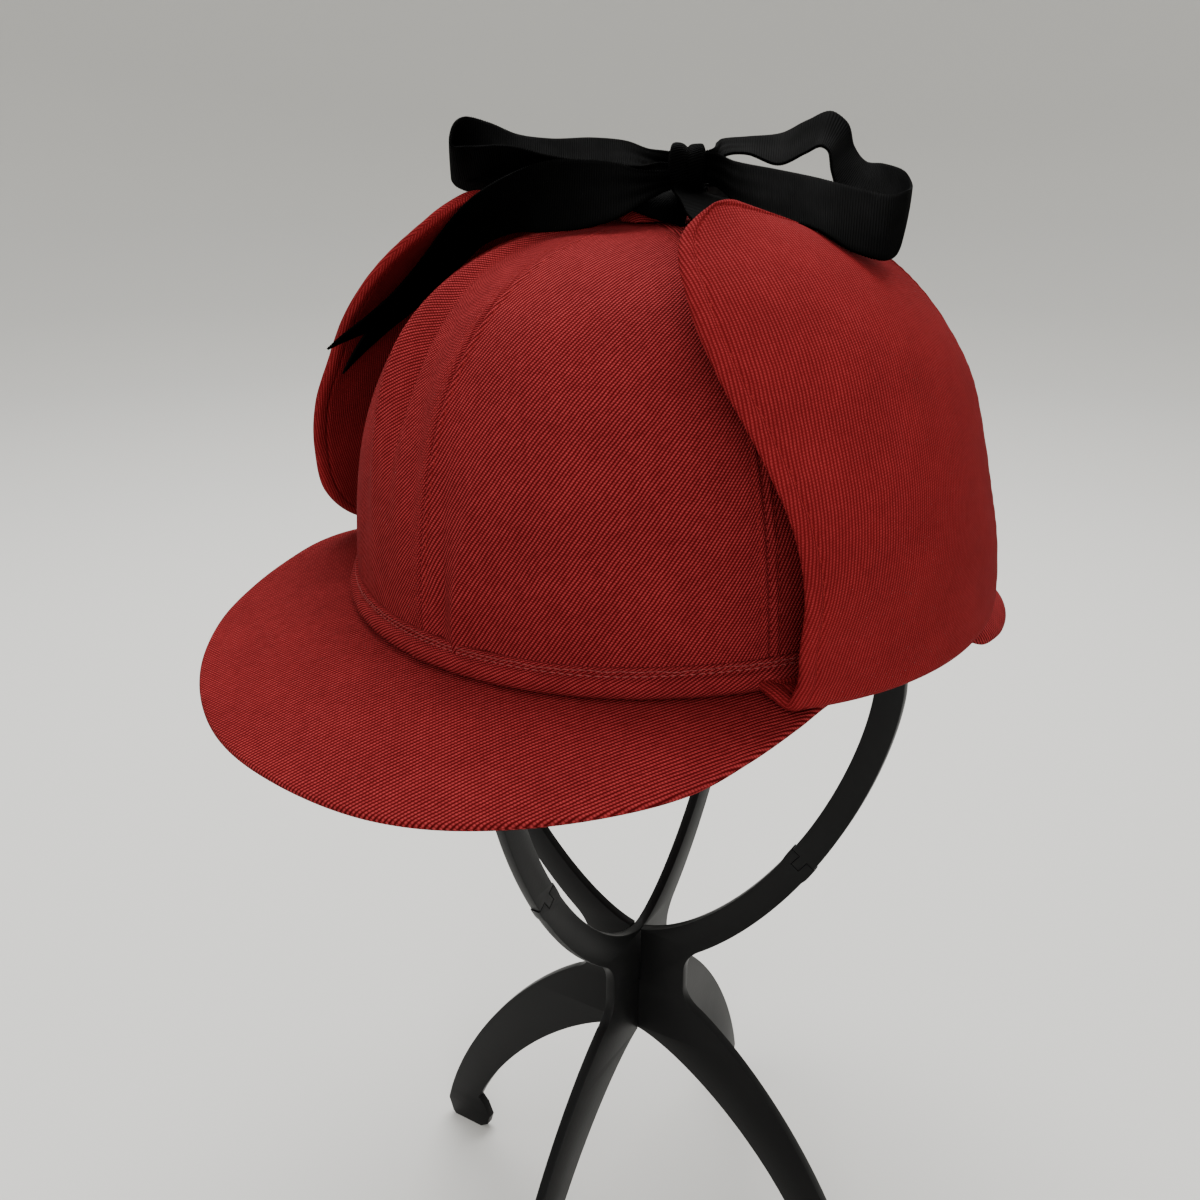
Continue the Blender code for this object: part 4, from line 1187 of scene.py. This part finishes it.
for letter, turn, slot_from_top in (("a", STAND_TURN, True), ("b", STAND_TURN + 90, False)):
    for kind, outline in (("plate", plate_outline(slot_from_top)),
                          ("arch", arch_outline(slot_from_top))):
        name = "stand_%s_%s" % (kind, letter)
        curve = bpy.data.curves.new(name + "_moulding", "CURVE")
        curve.dimensions = "2D"
        curve.fill_mode = "BOTH"
        curve.extrude = MM * (PLATE_THICKNESS / 2 - PLATE_ROUNDING)
        curve.bevel_depth = MM * PLATE_ROUNDING
        curve.bevel_resolution = 1
        curve.offset = -MM * PLATE_ROUNDING
        spline = curve.splines.new("POLY")
        spline.points.add(len(outline) - 1)
        for point, (distance, height) in zip(spline.points, outline):
            point.co = (MM * distance, MM * height, 0.0, 1.0)
        spline.use_cyclic_u = True
        moulding = bpy.data.objects.new(curve.name, curve)
        bpy.context.scene.collection.objects.link(moulding)
        bpy.ops.object.select_all(action="DESELECT")
        moulding.select_set(True)
        bpy.context.view_layer.objects.active = moulding
        moulding.location = MM * STAND_AXIS
        moulding.rotation_euler = (math.radians(90), 0.0, math.radians(turn))
        bpy.ops.object.convert(target="MESH")
        bpy.ops.object.transform_apply(location=True, rotation=True, scale=True)
        moulding = bpy.context.object
        close_shell(moulding)
        bpy.ops.object.shade_smooth_by_angle(angle=math.radians(25))
        finish_piece(moulding, black_plastic, "black_plastic", name)


# ---------------------------------------------------------------- floor, light and camera
# The stand is on a pale floor that curves up all round, under soft light from above.

Ring = namedtuple("Ring", "radius height")     # in metres, like all that is round the object
FLOOR_RINGS = table(Ring, (
    (0.02, 0.0), (0.6, 0.0), (1.2, 0.0), (1.7, 0.03), (2.1, 0.10), (2.45, 0.23), (2.7, 0.40),
    (2.9, 0.62), (3.05, 0.90), (3.15, 1.25), (3.2, 1.7),
))
bpy.ops.object.select_all(action="DESELECT")
bpy.ops.mesh.primitive_circle_add(vertices=128, radius=FLOOR_RINGS[0].radius, fill_type="NOTHING")
floor = bpy.context.object
floor.name = "floor"
bpy.ops.object.mode_set(mode="EDIT")
bpy.ops.mesh.edge_face_add()
bpy.ops.mesh.select_mode(type="EDGE")
for inner, outer in zip(FLOOR_RINGS, FLOOR_RINGS[1:]):
    bpy.ops.mesh.select_all(action="DESELECT")
    bpy.ops.mesh.select_non_manifold()
    bpy.ops.mesh.extrude_edges_move(
        TRANSFORM_OT_translate={"value": (0, 0, outer.height - inner.height)})
    growth = outer.radius / inner.radius
    bpy.ops.transform.resize(value=(growth, growth, 1), center_override=(0, 0, 0))
bpy.ops.mesh.select_all(action="SELECT")
bpy.ops.mesh.normals_make_consistent(inside=True)
bpy.ops.mesh.select_mode(type="VERT")
bpy.ops.object.mode_set(mode="OBJECT")
floor.data.shade_smooth()
pale_floor, nodes, shader = new_finish("pale_floor")
nodes.give(shader, {"Base Color": (0.57, 0.567, 0.545, 1), "Roughness": 0.9,
                    "Specular IOR Level": 0.1})
floor.data.materials.append(pale_floor)

world = bpy.data.worlds.new("soft_sky")
world.use_nodes = True
sky = world.node_tree.nodes["Background"]
sky.inputs["Color"].default_value = (0.80, 0.79, 0.765, 1)
sky.inputs["Strength"].default_value = 1.2
bpy.context.scene.world = world

LIT_SPOT = Vector((0, 0, 0.25))
SoftLight = namedtuple("SoftLight", "name place size power")
for light in (SoftLight("top", (-0.35, 0.45, 1.45), 1.1, 38.0),
              SoftLight("left", (-1.2, -0.7, 0.7), 1.0, 5.0),
              SoftLight("front", (1.15, -1.1, 0.58), 0.9, 17.0)):
    bpy.ops.object.light_add(type="AREA", location=light.place)
    lamp = bpy.context.object
    lamp.name = light.name + "_light"
    lamp.data.size = light.size
    lamp.data.energy = light.power
    away = lamp.location - LIT_SPOT
    lamp.rotation_euler = away.to_track_quat("Z", "Y").to_euler()

AZIMUTH, ELEVATION = math.radians(44.17), math.radians(21.5)
CAMERA_PLACE = MM * (STAND_AXIS + Vector((231.0, -257.3, 393.6)))
LENS, SENSOR = 34.9, 36.0
backward = Vector((math.sin(AZIMUTH) * math.cos(ELEVATION),
                   -math.cos(AZIMUTH) * math.cos(ELEVATION), math.sin(ELEVATION)))
bpy.ops.object.camera_add(location=CAMERA_PLACE,
                          rotation=backward.to_track_quat("Z", "Y").to_euler())
camera = bpy.context.object
camera.name = "camera"
camera.data.lens = LENS
camera.data.sensor_width = SENSOR
bpy.context.scene.camera = camera
